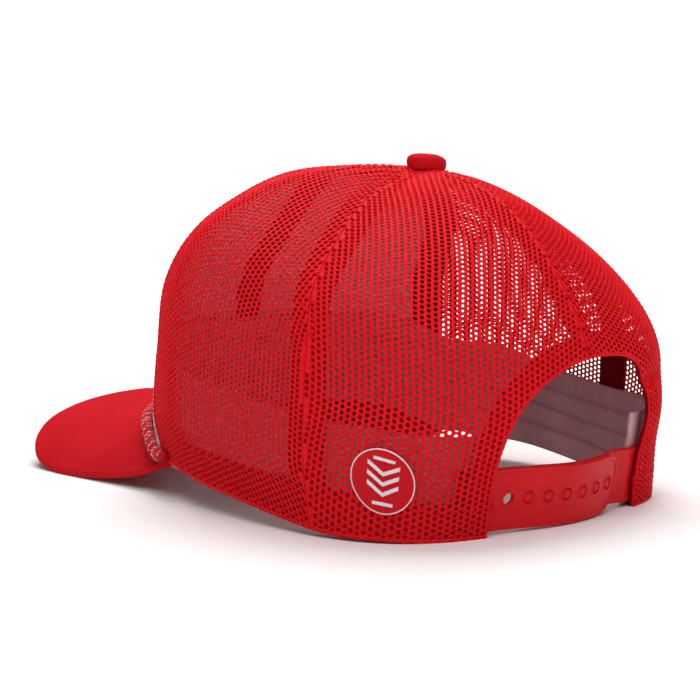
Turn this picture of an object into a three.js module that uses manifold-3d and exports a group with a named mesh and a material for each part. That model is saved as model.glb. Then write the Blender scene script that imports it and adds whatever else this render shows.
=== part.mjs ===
// Six panel cap with a curved visor, net sides and back, and a snap strap across the back opening.
// Millimetres. The visor points to -Y, the wearer's left is +X, up is +Z and the cap rests on z = 0.
import * as THREE from 'three';
import Module from 'manifold-3d';

// Crown sizes
const CROWN_HEIGHT = 128;
const FRONT_REACH = 102;
const SIDE_REACH = 89;
const BACK_REACH = 101.5;
const APEX_BACK = 19;
const FRONT_ROUND = 2.1;
const TOP_ROUND = 2;

// Cloth thicknesses and the gap kept between pieces
const GAP = 0.4;
const NET_THICK = 1.2;
const FRONT_THICK = 2;
const TAPE_THICK = 0.8;
const TAPE_WIDTH = 14;
const BAND_THICK = 1.4;
const BAND_HEIGHT = 32;
const BAND_LEAN = 0.9;

// Back opening
const ARCH_HALF_WIDTH = 40.5;
const ARCH_HEIGHT = 60;
const ARCH_LEAN = 8;
const ARCH_LEFT_POWER = 1.68;
const ARCH_RIGHT_POWER = 3.6;
const ARCH_TOP_POWER = 4.4;
const BINDING_WIDTH = 8;

// Visor
const VISOR_FLARE = 6.5;
const VISOR_LENGTH = 67;
const VISOR_RISE = 22.5;
const VISOR_THICK = 2.6;
const VISOR_CORNER = 1.5;
const ROOT_SPREAD = 1.25;
const EDGE_SPREAD = 0.8;

// Trim
const ROPE_RADIUS = 2.2;
const BUTTON_RADIUS = 7.7;
const BUTTON_HEIGHT = 5;
const BADGE_RADIUS = 11;
const BADGE_THICK = 0.8;

// Snap strap
const STRAP_HEIGHT = 21.6;
const STRAP_BOTTOM = 1.2;
const STRAP_THICK = 1.6;
const STRAP_TAIL = 12;
const STRAP_END = 26;
const STRAP_STEP = 12;
const STRAP_BULGE = 2;
const STRAP_INSET = 2;
const STRAP_ROUND = 2.5;
const STRAP_BLUNT = 0.06;
const INNER_STRAP_HEIGHT = 20.4;
const HOLE_COUNT = 7;
const HOLE_PITCH = 8.4;
const HOLE_RADIUS = 2.2;
const FIRST_HOLE = 31;
const POST_RADIUS = 1.7;
const CUT_PAST = 2;

// Angles round the crown in degrees, counted from the middle of the front
const FRONT_SEAM = 66.5;
const SEAM_LEAN = 10;
const RIM_BEND = 4;
const ROPE_LEAD = 4;
const SIDE_SEAM = 111;
const LOW_SIDE = 122;
const BACK_FLAT = 150;
const ROUND_START = 70;
const ROUND_TURN = 60;
const BAND_STEP = 12;
const BAND_LEAD = 7;
const BADGE_ANGLE = 132;
const BADGE_SHARE = 0.11;

// Rings of the crown from the rim to the top. Columns: front reach, front height, front seam height,
// side reach, side height, back reach, back height, back roundness. Reaches are shares of the three
// reaches above and heights are shares of the crown height.
const RINGS = [
  [1.07, 0.205, 0.11, 0.972, 0.008, 0.906, 0, 3.4],
  [1.025, 0.313, 0.266, 1, 0.203, 0.946, 0.156, 3],
  [0.975, 0.453, 0.453, 1, 0.367, 0.995, 0.32, 2.8],
  [0.918, 0.648, 0.656, 0.981, 0.516, 0.981, 0.469, 2.8],
  [0.72, 0.82, 0.813, 0.905, 0.641, 0.909, 0.602, 2.6],
  [0.53, 0.953, 0.922, 0.708, 0.773, 0.77, 0.758, 2.45],
  [0.395, 1.023, 0.984, 0.494, 0.875, 0.591, 0.883, 2.2],
  [0.176, 1.02, 1.004, 0.258, 0.945, 0.384, 0.961, 2.1],
];

// Free edge of the visor from its rear corner to its middle. Columns: half width and reach beyond
// the seam corner as shares, and height of the under face as a share of the rise.
const VISOR_EDGE = [
  [0.906, 0, 0.49],
  [0.936, 0.095, 0.28],
  [0.953, 0.25, 0.1],
  [0.983, 0.422, 0],
  [1, 0.565, 0],
  [0.983, 0.69, 0.17],
  [0.89, 0.79, 0.47],
  [0.709, 0.87, 0.75],
  [0.395, 0.952, 0.94],
  [0, 1, 1],
];

// Depth of each piece under the outer face of the crown
const TAPE_DEPTH = NET_THICK + GAP;
const FRONT_TAPE_DEPTH = FRONT_THICK + GAP;
const BAND_DEPTH = FRONT_TAPE_DEPTH + TAPE_THICK + GAP;
const STRAP_DEPTH = TAPE_DEPTH + TAPE_THICK + GAP;
const BAND_STRAP_DEPTH = STRAP_DEPTH + STRAP_THICK + GAP;
const TOP_SHARE = 0.972;
const TAPE_TOP_SHARE = 0.9;
const LEAN_SHARE = 0.12;
const BEND_SHARE = 0.2;

// Numbers of steps in the surfaces
const PANEL_ROWS = 16;
const PANEL_COLUMNS = 11;
const ARCH_ROWS = 9;
const OVER_ARCH_ROWS = 10;
const PIN_SIDES = 14;

const rad = THREE.MathUtils.degToRad;
const deg = THREE.MathUtils.radToDeg;
const wasm = await Module();
wasm.setup();

// Smooth step from 0 to 1
function ease(t) {
  const c = THREE.MathUtils.clamp(t, 0, 1);
  return c * c * (3 - 2 * c);
}

function mix(a, b, t) {
  return a + (b - a) * t;
}

// Smooth curve through the rows of a table, at t steps along it
function through(rows, t) {
  const last = rows.length - 1;
  const i = Math.min(Math.floor(t), last - 1);
  const f = t - i;
  const before = (k) => 2 * rows[0][k] - rows[1][k];
  const after = (k) => 2 * rows[last][k] - rows[last - 1][k];
  return rows[i].map((_, k) => {
    const p0 = i > 0 ? rows[i - 1][k] : before(k);
    const p1 = rows[i][k];
    const p2 = rows[i + 1][k];
    const p3 = i + 2 <= last ? rows[i + 2][k] : after(k);
    const bend = (2 * p0 - 5 * p1 + 4 * p2 - p3) * f * f + (3 * p1 - p0 - 3 * p2 + p3) * f ** 3;
    return 0.5 * (2 * p1 + (p2 - p0) * f + bend);
  });
}

// Rings in millimetres, closed by the point of the crown
function sizedRings() {
  const high = CROWN_HEIGHT;
  const sizes = [FRONT_REACH, high, high, SIDE_REACH, high, BACK_REACH, high, 1];
  const rows = RINGS.map((row) => row.map((share, k) => share * sizes[k]));
  rows.push([-APEX_BACK, high, high, 0, high, APEX_BACK, high, TOP_ROUND]);
  return rows;
}

const SIZED_RINGS = sizedRings();

function ringAt(share) {
  return through(SIZED_RINGS, share * (SIZED_RINGS.length - 1));
}

// Outer face of the crown: angle from the front in degrees, share 0 at the rim and 1 at the top
function crownFace(angle, share) {
  const [front, frontZ, seamZ, side, sideZ, back, backZ, round] = ringAt(share);
  const turn = Math.abs(angle) > 180 ? 360 - Math.abs(angle) : Math.abs(angle);
  const sine = Math.sin(rad(turn));
  const cosine = Math.cos(rad(turn));
  const frontRound = mix(FRONT_ROUND, TOP_ROUND, share);
  const power = mix(frontRound, round, ease((turn - ROUND_START) / ROUND_TURN));
  const middle = APEX_BACK * share ** 3;
  const along = Math.abs(cosine) ** (2 / power);
  const y = cosine > 0 ? middle - (front + middle) * along : middle + (back - middle) * along;
  const x = side * Math.abs(sine) ** (2 / power);
  let z = mix(sideZ, backZ, ease((turn - LOW_SIDE) / (BACK_FLAT - LOW_SIDE)));
  if (turn < LOW_SIDE) {
    z = mix(seamZ, sideZ, ease((turn - FRONT_SEAM) / (LOW_SIDE - FRONT_SEAM)));
  }
  if (turn < FRONT_SEAM) {
    const bend = mix(RIM_BEND, 1, ease(share / BEND_SHARE));
    z = mix(frontZ, seamZ, ease((turn / FRONT_SEAM) ** bend));
  }
  const hand = angle < 0 || angle > 180 ? -1 : 1;
  return new THREE.Vector3(hand * x, y, Math.max(z, 0));
}

// Directions round and up the crown at a point, for a wearer's left angle
function crownSlopes(angle, share) {
  const step = 0.004;
  const low = Math.max(share - step, 0);
  const round = crownFace(angle + 0.5, share).sub(crownFace(angle - 0.5, share));
  const up = crownFace(angle, Math.min(share + step, 1)).sub(crownFace(angle, low));
  up.divideScalar(Math.min(share + step, 1) - low);
  return { round, up };
}

// Point at a depth under the outer face, for angles of the wearer's left half. The rim is cut level.
function crownPoint(angle, share, depth) {
  const { round, up } = crownSlopes(angle, share);
  const normal = round.cross(up).normalize();
  const face = crownFace(angle, share);
  const point = face.clone().addScaledVector(normal, -depth);
  point.z = share === 0 ? face.z : Math.max(point.z, 0);
  return point;
}

// Share at which the middle of the back reaches a height
function backShare(height) {
  let low = 0;
  let high = 1;
  for (let i = 0; i < 40; i += 1) {
    const middle = (low + high) / 2;
    if (ringAt(middle)[6] < height) {
      low = middle;
    } else {
      high = middle;
    }
  }
  return (low + high) / 2;
}

// Angle of the back face at a distance from the middle plane
function backAngle(x, share) {
  const ring = ringAt(share);
  const ratio = Math.min(Math.abs(x) / ring[3], 1);
  return 180 - Math.sign(x) * deg(Math.asin(ratio ** (ring[7] / 2)));
}

// Point of the back at a distance from the middle plane and a height, at a depth under the face
function backPoint(x, height, depth) {
  const share = backShare(height);
  const point = crownPoint(backAngle(Math.abs(x), share), share, depth);
  point.x *= Math.sign(x || 1);
  return point;
}

// Distance of the opening's edge from the middle plane at a height, on the left (1) or right (-1), for an
// opening grown by a margin. Its highest point leans to the wearer's right.
function archEdge(height, margin, hand) {
  const rise = THREE.MathUtils.clamp(height / (ARCH_HEIGHT + margin), 0, 1);
  const power = hand > 0 ? ARCH_LEFT_POWER : ARCH_RIGHT_POWER;
  const reach = ARCH_HALF_WIDTH + margin + hand * ARCH_LEAN;
  return reach * (1 - rise ** ARCH_TOP_POWER) ** (1 / power) - hand * ARCH_LEAN;
}

// Closed body with a list of points and triangles, turned so that its faces look outward
function body(points, triangles) {
  let volume = 0;
  for (const [a, b, c] of triangles) {
    const cross = new THREE.Vector3().crossVectors(points[b], points[c]);
    volume += points[a].dot(cross);
  }
  if (volume < 0) {
    triangles.forEach((t) => t.reverse());
  }
  return { points, triangles };
}

// Body between two grids of points, closed along its four sides
function slab(outer, inner) {
  const rows = outer.length;
  const columns = outer[0].length;
  const points = [...outer.flat(), ...inner.flat()];
  const shift = rows * columns;
  const triangles = [];
  const quad = (a, b, c, d) => triangles.push([a, b, c], [a, c, d]);
  const at = (i, j) => i * columns + j;
  for (let i = 0; i < rows - 1; i += 1) {
    for (let j = 0; j < columns - 1; j += 1) {
      quad(at(i, j), at(i, j + 1), at(i + 1, j + 1), at(i + 1, j));
      quad(shift + at(i, j), shift + at(i + 1, j), shift + at(i + 1, j + 1), shift + at(i, j + 1));
    }
    const end = columns - 1;
    quad(at(i, 0), at(i + 1, 0), shift + at(i + 1, 0), shift + at(i, 0));
    quad(at(i, end), shift + at(i, end), shift + at(i + 1, end), at(i + 1, end));
  }
  for (let j = 0; j < columns - 1; j += 1) {
    const top = rows - 1;
    quad(at(0, j), shift + at(0, j), shift + at(0, j + 1), at(0, j + 1));
    quad(at(top, j), at(top, j + 1), shift + at(top, j + 1), shift + at(top, j));
  }
  return body(points, triangles);
}

// Body skinned over closed rings of points, with a fan of triangles over each end
function skin(rings) {
  const sides = rings[0].length;
  const points = rings.flat();
  const triangles = [];
  for (let i = 0; i < rings.length - 1; i += 1) {
    for (let j = 0; j < sides; j += 1) {
      const k = (j + 1) % sides;
      triangles.push([i * sides + j, i * sides + k, (i + 1) * sides + k]);
      triangles.push([i * sides + j, (i + 1) * sides + k, (i + 1) * sides + j]);
    }
  }
  const fan = (ring, start, flip) => {
    const centre = points.length;
    const middle = new THREE.Vector3();
    ring.forEach((p) => middle.addScaledVector(p, 1 / sides));
    points.push(middle);
    for (let j = 0; j < sides; j += 1) {
      const k = (j + 1) % sides;
      triangles.push(flip ? [centre, start + k, start + j] : [centre, start + j, start + k]);
    }
  };
  fan(rings[0], 0, true);
  fan(rings[rings.length - 1], (rings.length - 1) * sides, false);
  return body(points, triangles);
}

// The same body on the other side of the middle plane
function mirrored(shape) {
  const points = shape.points.map((p) => new THREE.Vector3(-p.x, p.y, p.z));
  return body(points, shape.triangles.map((t) => [...t]));
}

function meshOf(name, shape, color, roughness) {
  const geometry = new THREE.BufferGeometry();
  const flat = shape.points.flatMap((p) => [p.x, p.y, p.z]);
  geometry.setAttribute('position', new THREE.Float32BufferAttribute(flat, 3));
  geometry.setIndex(shape.triangles.flat());
  const material = new THREE.MeshStandardMaterial({ color, roughness, metalness: 0 });
  const mesh = new THREE.Mesh(geometry, material);
  mesh.name = name;
  return mesh;
}

// Grid of points at a depth: each row has its share and its first and last angle
function crownGrid(rows, columns, depth) {
  return rows.map(({ share, from, to }) => {
    const line = [];
    for (let j = 0; j <= columns; j += 1) {
      line.push(crownPoint(mix(from, to, j / columns), share, depth));
    }
    return line;
  });
}

function crownSlab(rows, columns, depth, thick) {
  return slab(crownGrid(rows, columns, depth), crownGrid(rows, columns, depth + thick));
}

// Angle that a distance along the crown takes up
function angleOf(distance, angle, share) {
  return distance / crownSlopes(angle, share).round.length();
}

// Shares from a lower to an upper limit
function shares(low, high, count) {
  return Array.from({ length: count + 1 }, (_, i) => mix(low, high, i / count));
}

// Angle of a seam at a share. The front side seam leans forward just above the rim.
function seamAngle(angle, share) {
  return angle === FRONT_SEAM ? angle - SEAM_LEAN * ease(share / LEAN_SHARE) : angle;
}

// Panel between two seams, kept half a gap from each
function plainPanel(from, to, thick) {
  const rows = shares(0, TOP_SHARE, PANEL_ROWS).map((share) => {
    const start = seamAngle(from, share);
    const end = seamAngle(to, share);
    return {
      share,
      from: start + angleOf(GAP / 2, start, share),
      to: end - angleOf(GAP / 2, end, share),
    };
  });
  return crownSlab(rows, PANEL_COLUMNS, 0, thick);
}

// Back panel, whose inner border follows one side of the opening up to the seam in the middle
function backPanel(hand) {
  const top = backShare(ARCH_HEIGHT);
  const lower = shares(0, 1, ARCH_ROWS).map((t) => top * Math.sin((Math.PI / 2) * t));
  const upper = shares(top, TOP_SHARE, OVER_ARCH_ROWS).slice(1);
  const rows = [...lower, ...upper].map((share) => {
    const limit = 180 - angleOf(GAP / 2, 180, share);
    const border = backAngle(Math.max(archEdge(ringAt(share)[6], 0, hand), 0), share);
    return {
      share,
      from: share < top ? Math.min(border, limit) : limit,
      to: SIDE_SEAM + angleOf(GAP / 2, SIDE_SEAM, share),
    };
  });
  return crownSlab(rows, PANEL_COLUMNS, 0, NET_THICK);
}

// Tape over the inside of a seam, from a lower share to where the tapes meet at the top
function seamTape(angle, low, depth) {
  const levels = shares(0, TOP_SHARE, PANEL_ROWS).filter((share) => share > low && share < TAPE_TOP_SHARE);
  const rows = [low, ...levels, TAPE_TOP_SHARE].map((share) => {
    const seam = seamAngle(angle, share);
    const half = angleOf(TAPE_WIDTH / 2, seam, share);
    return { share, from: seam - half, to: seam + half };
  });
  return crownSlab(rows, 2, depth, TAPE_THICK);
}

// Binding on the inside of the opening's edge
function archBinding() {
  const steps = 40;
  const grid = (depth) => {
    const lines = [];
    for (let i = 0; i <= steps; i += 1) {
      const turn = (Math.PI * i) / steps;
      const line = [0, 0.5, 1].map((t) => {
        const margin = t * BINDING_WIDTH;
        const height = (ARCH_HEIGHT + margin) * Math.sin(turn) ** (2 / ARCH_TOP_POWER);
        const hand = turn < Math.PI / 2 ? 1 : -1;
        return backPoint(hand * archEdge(height, margin, hand), height, depth);
      });
      lines.push(line);
    }
    return lines;
  };
  return slab(grid(TAPE_DEPTH), grid(TAPE_DEPTH + TAPE_THICK));
}

// Depth of the sweatband, which lies deeper where the strap passes behind it
function bandDepth(angle) {
  const tail = backAngle(ARCH_HALF_WIDTH + STRAP_TAIL, 0);
  const past = Math.abs(angle) - (tail - BAND_LEAD - BAND_STEP);
  return mix(BAND_DEPTH, BAND_STRAP_DEPTH, ease(past / BAND_STEP));
}

// Sweatband round the inside of the rim, from one side of the opening to the other
function sweatband() {
  const steps = 68;
  const end = backAngle(ARCH_HALF_WIDTH, 0);
  const levels = [0, 0.5, 1];
  const grid = (extra) => {
    const lines = [];
    for (let i = 0; i <= steps; i += 1) {
      const angle = mix(-end, end, i / steps);
      const turn = Math.abs(angle);
      const foot = crownFace(turn, 0).z;
      const line = levels.map((t) => {
        const point = crownPoint(turn, bandShare(turn, t * BAND_HEIGHT), bandDepth(turn) + extra);
        point.z = Math.max(point.z, foot + t * BAND_HEIGHT * BAND_LEAN);
        point.x *= Math.sign(angle || 1);
        return point;
      });
      lines.push(line);
    }
    return lines;
  };
  return slab(grid(0), grid(BAND_THICK));
}

// Share that lies a height above the rim at an angle
function bandShare(angle, height) {
  const foot = crownFace(angle, 0).z;
  let low = 0;
  let high = 0.6;
  for (let i = 0; i < 30; i += 1) {
    const middle = (low + high) / 2;
    if (crownFace(angle, middle).z - foot < height) {
      low = middle;
    } else {
      high = middle;
    }
  }
  return (low + high) / 2;
}

// Visor between the rim and its free edge, bent down at both sides
function visor() {
  const steps = 32;
  const across = 6;
  const corner = crownFace(FRONT_SEAM, 0);
  const [width, out, rise] = VISOR_EDGE[VISOR_EDGE.length - 2];
  const edgeRows = [...VISOR_EDGE, [-width, out, rise]];
  const reach = FRONT_REACH * RINGS[0][0] + VISOR_LENGTH + corner.y;
  const grid = (lift) => {
    const lines = [];
    for (let i = 0; i <= steps; i += 1) {
      const t = (2 * i) / steps - 1;
      const near = 1 - Math.abs(t);
      const [wide, far, high] = through(edgeRows, near ** EDGE_SPREAD * (VISOR_EDGE.length - 1));
      const sign = Math.sign(t || 1);
      const edge = new THREE.Vector3(
        sign * wide * (corner.x + VISOR_FLARE),
        corner.y - VISOR_CORNER - far * reach,
        Math.max(high * VISOR_RISE, 0) + lift,
      );
      const angle = FRONT_SEAM * (1 - near ** ROOT_SPREAD);
      const root = crownPoint(angle, 0, BAND_DEPTH - GAP);
      root.z = crownFace(angle, 0).z - GAP - VISOR_THICK + lift;
      root.x *= sign;
      const line = [];
      for (let j = 0; j <= across; j += 1) {
        line.push(root.clone().lerp(edge, j / across));
      }
      lines.push(line);
    }
    return lines;
  };
  return slab(grid(VISOR_THICK), grid(0));
}

// Cord laid in the corner between the crown and the visor
function rope() {
  const steps = 46;
  const sides = 6;
  const path = [];
  for (let i = 0; i <= steps; i += 1) {
    const end = FRONT_SEAM + ROPE_LEAD;
    const angle = mix(-end, end, i / steps);
    const point = crownPoint(Math.abs(angle), 0, -(ROPE_RADIUS + GAP));
    point.z = crownFace(Math.abs(angle), 0).z + ROPE_RADIUS;
    point.x *= Math.sign(angle || 1);
    path.push(point);
  }
  const up = new THREE.Vector3(0, 0, 1);
  const rings = path.map((point, i) => {
    const ahead = path[Math.min(i + 1, steps)];
    const behind = path[Math.max(i - 1, 0)];
    const along = ahead.clone().sub(behind).normalize();
    const out = along.clone().cross(up).normalize();
    const top = out.clone().cross(along);
    return Array.from({ length: sides }, (_, k) => {
      const turn = (2 * Math.PI * k) / sides;
      const ring = point.clone().addScaledVector(out, ROPE_RADIUS * Math.cos(turn));
      return ring.addScaledVector(top, ROPE_RADIUS * Math.sin(turn));
    });
  });
  return skin(rings);
}

// Cloth covered button on the point of the crown
function button() {
  const sides = 28;
  const base = CROWN_HEIGHT + GAP;
  const profile = [
    [0.86, 0],
    [0.97, 0.14],
    [1, 0.36],
    [0.94, 0.62],
    [0.76, 0.84],
    [0.48, 0.96],
    [0.2, 1],
  ];
  const rings = profile.map(([wide, high]) => Array.from({ length: sides }, (_, k) => {
    const turn = (2 * Math.PI * k) / sides;
    const x = BUTTON_RADIUS * wide * Math.cos(turn);
    const y = APEX_BACK + BUTTON_RADIUS * wide * Math.sin(turn);
    return new THREE.Vector3(x, y, base + high * BUTTON_HEIGHT);
  }));
  return skin(rings);
}

// Round embroidered badge on the wearer's left back panel
function badge() {
  const sides = 28;
  const { round, up } = crownSlopes(BADGE_ANGLE, BADGE_SHARE);
  const ring = (share, depth) => Array.from({ length: sides }, (_, k) => {
    const turn = (2 * Math.PI * k) / sides;
    const angle = BADGE_ANGLE + (BADGE_RADIUS * share * Math.cos(turn)) / round.length();
    const level = BADGE_SHARE + (BADGE_RADIUS * share * Math.sin(turn)) / up.length();
    return crownPoint(angle, level, depth);
  });
  const under = [0.35, 0.7, 1].map((share) => ring(share, -GAP));
  const over = [1, 0.7, 0.35].map((share) => ring(share, -GAP - BADGE_THICK));
  return skin([...under, ...over]);
}

// Point on the outer face of the strap at a distance from the middle plane and a height
function strapPoint(x, height, depth) {
  const bulge = STRAP_BULGE + STRAP_DEPTH;
  const inset = STRAP_DEPTH - bulge * (1 - ease(Math.abs(x) / (ARCH_HALF_WIDTH - STRAP_INSET)));
  return backPoint(x, height, inset + depth);
}

// Strap with a tail in one leg of the opening and a rounded free end, at a depth given along it
function strapBlank(tail, end, height, depthAt) {
  const steps = 26;
  const levels = 2;
  const middle = STRAP_BOTTOM + STRAP_HEIGHT / 2;
  const length = Math.abs(end - tail);
  const grid = (extra) => {
    const lines = [];
    for (let i = 0; i <= steps; i += 1) {
      const along = (length * i) / steps;
      const left = Math.max(height / 2 - (length - along), 0) / (height / 2);
      const half = (height / 2) * Math.sqrt(Math.max(1 - left ** STRAP_ROUND, STRAP_BLUNT));
      const x = mix(tail, end, i / steps);
      const line = [];
      for (let j = 0; j <= levels; j += 1) {
        line.push(strapPoint(x, middle + half * mix(-1, 1, j / levels), depthAt(x) + extra));
      }
      lines.push(line);
    }
    return lines;
  };
  return slab(grid(0), grid(STRAP_THICK));
}

function toManifold(shape) {
  const mesh = new wasm.Mesh({
    numProp: 3,
    vertProperties: new Float32Array(shape.points.flatMap((p) => [p.x, p.y, p.z])),
    triVerts: new Uint32Array(shape.triangles.flat()),
  });
  return new wasm.Manifold(mesh);
}

function fromManifold(solid) {
  const mesh = solid.getMesh();
  const points = [];
  for (let i = 0; i < mesh.numVert; i += 1) {
    points.push(new THREE.Vector3().fromArray(mesh.vertProperties, i * mesh.numProp));
  }
  const triangles = [];
  for (let i = 0; i < mesh.numTri; i += 1) {
    triangles.push(Array.from(mesh.triVerts.slice(3 * i, 3 * i + 3)));
  }
  return body(points, triangles);
}

// Round pin square to the strap between two depths
function strapPin(x, radius, from, to) {
  const height = STRAP_BOTTOM + STRAP_HEIGHT / 2;
  const start = strapPoint(x, height, from);
  const finish = strapPoint(x, height, to);
  const along = finish.clone().sub(start).normalize();
  const side = new THREE.Vector3(0, 0, 1).cross(along).normalize();
  const top = along.clone().cross(side);
  const ringAtPoint = (point) => Array.from({ length: PIN_SIDES }, (_, k) => {
    const turn = (2 * Math.PI * k) / PIN_SIDES;
    const p = point.clone().addScaledVector(side, radius * Math.cos(turn));
    return p.addScaledVector(top, radius * Math.sin(turn));
  });
  return skin([ringAtPoint(start), ringAtPoint(finish)]);
}

function holePositions() {
  return Array.from({ length: HOLE_COUNT }, (_, k) => FIRST_HOLE - k * HOLE_PITCH);
}

// Outer half of the strap, with its row of holes
function strapOuter() {
  const tail = ARCH_HALF_WIDTH + STRAP_TAIL;
  let solid = toManifold(strapBlank(tail, -STRAP_END, STRAP_HEIGHT, () => 0));
  for (const x of holePositions()) {
    solid = solid.subtract(toManifold(strapPin(x, HOLE_RADIUS, -CUT_PAST, STRAP_THICK + CUT_PAST)));
  }
  return fromManifold(solid);
}

// Inner half of the strap, with a post in every hole but the first
function strapInner() {
  const tail = -(ARCH_HALF_WIDTH + STRAP_TAIL);
  const depth = STRAP_THICK + GAP;
  const end = FIRST_HOLE - HOLE_PITCH / 2 - GAP;
  const depthAt = (x) => depth * ease((x + STRAP_END + STRAP_STEP) / (STRAP_STEP - STRAP_INSET));
  let solid = toManifold(strapBlank(tail, end, INNER_STRAP_HEIGHT, depthAt));
  for (const x of holePositions().slice(1)) {
    solid = solid.add(toManifold(strapPin(x, POST_RADIUS, GAP / 2, depth + STRAP_THICK / 2)));
  }
  return fromManifold(solid);
}

// Whole cap, standing on z = 0 with its box centred on the origin
function cap() {
  const group = new THREE.Group();
  const red = 0xd01722;
  const dark = 0x8a0d14;
  const add = (...args) => group.add(meshOf(...args));
  const front = plainPanel(0, FRONT_SEAM, FRONT_THICK);
  const side = plainPanel(FRONT_SEAM, SIDE_SEAM, NET_THICK);
  const backLeft = backPanel(1);
  const backRight = mirrored(backPanel(-1));
  add('front_panel_left', front, 0xf2f0f2, 0.9);
  add('front_panel_right', mirrored(front), 0xf2f0f2, 0.9);
  add('side_panel_left', side, red, 0.7);
  add('side_panel_right', mirrored(side), red, 0.7);
  add('back_panel_left', backLeft, red, 0.7);
  add('back_panel_right', backRight, red, 0.7);
  const frontTape = seamTape(FRONT_SEAM, 0, FRONT_TAPE_DEPTH);
  const sideTape = seamTape(SIDE_SEAM, 0, TAPE_DEPTH);
  const archTop = backShare(ARCH_HEIGHT + BINDING_WIDTH + GAP);
  add('tape_front', seamTape(0, 0, FRONT_TAPE_DEPTH), dark, 0.9);
  add('tape_front_left', frontTape, dark, 0.9);
  add('tape_front_right', mirrored(frontTape), dark, 0.9);
  add('tape_side_left', sideTape, dark, 0.9);
  add('tape_side_right', mirrored(sideTape), dark, 0.9);
  add('tape_back', seamTape(180, archTop, TAPE_DEPTH), dark, 0.9);
  add('arch_binding', archBinding(), dark, 0.9);
  add('sweatband', sweatband(), 0xd9d2d4, 0.95);
  add('visor', visor(), 0xb9161f, 0.85);
  add('rope', rope(), 0xc8202a, 0.8);
  add('button', button(), 0xc4161f, 0.8);
  add('badge', badge(), 0xe9dfe6, 0.7);
  add('strap_outer', strapOuter(), 0xb0121b, 0.35);
  add('strap_inner', strapInner(), 0xb0121b, 0.35);
  const box = new THREE.Box3().setFromObject(group);
  const centre = box.getCenter(new THREE.Vector3());
  group.children.forEach((mesh) => mesh.geometry.translate(-centre.x, -centre.y, -box.min.z));
  return group;
}

export default cap();
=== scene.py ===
"""Trucker cap with net sides and back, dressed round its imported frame. Shapes are worked out in millimetres."""

import math

import bmesh
import bpy
import numpy as np
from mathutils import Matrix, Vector


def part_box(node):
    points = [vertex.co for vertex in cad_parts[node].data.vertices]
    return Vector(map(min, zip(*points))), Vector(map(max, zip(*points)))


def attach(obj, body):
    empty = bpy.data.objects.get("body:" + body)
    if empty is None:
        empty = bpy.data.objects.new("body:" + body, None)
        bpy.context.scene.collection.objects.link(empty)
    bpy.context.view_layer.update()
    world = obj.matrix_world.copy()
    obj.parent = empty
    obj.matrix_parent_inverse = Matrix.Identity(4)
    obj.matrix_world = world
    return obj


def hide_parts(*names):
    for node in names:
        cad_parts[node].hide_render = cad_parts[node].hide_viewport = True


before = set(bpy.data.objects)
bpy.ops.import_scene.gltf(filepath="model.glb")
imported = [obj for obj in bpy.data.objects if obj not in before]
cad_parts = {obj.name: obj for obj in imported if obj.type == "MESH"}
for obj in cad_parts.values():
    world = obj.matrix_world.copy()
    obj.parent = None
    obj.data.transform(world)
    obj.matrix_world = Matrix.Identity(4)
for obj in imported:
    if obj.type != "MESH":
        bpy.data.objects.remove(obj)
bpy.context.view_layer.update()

MM = 0.001

# Crown sizes, shared with the frame
CROWN_HEIGHT = 128.0
FRONT_REACH = 102.0
SIDE_REACH = 89.0
BACK_REACH = 101.5
APEX_BACK = 19.0
FRONT_ROUND = 2.1
TOP_ROUND = 2.0
FRONT_SEAM = 66.5
SEAM_LEAN = 10.0
LEAN_SHARE = 0.12
RIM_BEND = 4.0
BEND_SHARE = 0.2
SIDE_SEAM = 111.0
BACK_SEAM = 180.0
LOW_SIDE = 122.0
BACK_FLAT = 150.0
ROUND_START = 70.0
ROUND_TURN = 60.0
TOP_SHARE = 0.972

# Cloth, tapes and the gap between them
GAP = 0.4
NET_THICK = 0.8
FRONT_THICK = 2.0
TAPE_THICK = 0.8
TAPE_WIDTH = 14.0
TAPE_DEPTH = 1.6
FRONT_TAPE_DEPTH = 2.4
BAND_DEPTH = 3.6
BAND_STRAP_DEPTH = 4.8
BAND_THICK = 1.4
BAND_HEIGHT = 32.0
BAND_LEAN = 0.9
BAND_STEP = 12.0
BAND_LEAD = 7.0
BAND_RAISE = 3.2
BAND_HANG = 3.0
BAND_LINES = (8.0, 16.0, 24.0)
BAND_CHANNEL = 8.0
TURNED_GAP = 0.12
TURNED_THICK = 0.3
SEAM_FOOT = 0.004
STITCH_BESIDE = 2.3
STITCH_TOP = 0.94

# Back opening
ARCH_HALF_WIDTH = 40.5
ARCH_HEIGHT = 60.0
ARCH_LEAN = 8.0
ARCH_LEFT_POWER = 1.68
ARCH_RIGHT_POWER = 3.6
ARCH_TOP_POWER = 4.4
BINDING_WIDTH = 8.0

# Net lattice: distance of its columns, distance of the holes in a column, and the hole's half sizes
NET_COLUMN = 2.36
NET_PITCH = 2.13
HOLE_HALF_WIDTH = 0.7
HOLE_HALF_HEIGHT = 0.68
KNOT_RAISE = 0.22
STRAND_SINK = 0.18
HOLE_MARGIN = 0.05
NET_EDGE = 0.15
BEHIND = 120.0

# Visor
VISOR_FLARE = 6.5
VISOR_LENGTH = 67.0
VISOR_RISE = 22.5
VISOR_THICK = 2.6
VISOR_CORNER = 1.5
ROOT_SPREAD = 1.25
EDGE_SPREAD = 0.8
CORNER_DROOP = 5.0

# Trim
ROPE_RADIUS = 2.2
ROPE_LEAD = 4.0
BRAID_STEP = 0.24
BRAID_TWIST = 2.4
FLECK_HALF = 0.2
FLECK_GROUP = 6.5
BARE_END = 2.0
BUTTON_RADIUS = 7.7
BUTTON_HEIGHT = 5.0
SKIRT_DROP = 1.4
BUTTON_LEAN = 0.05
BADGE_RADIUS = 11.0
BADGE_RING = 10.6
BADGE_ANGLE = 132.0
BADGE_SHARE = 0.11

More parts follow.
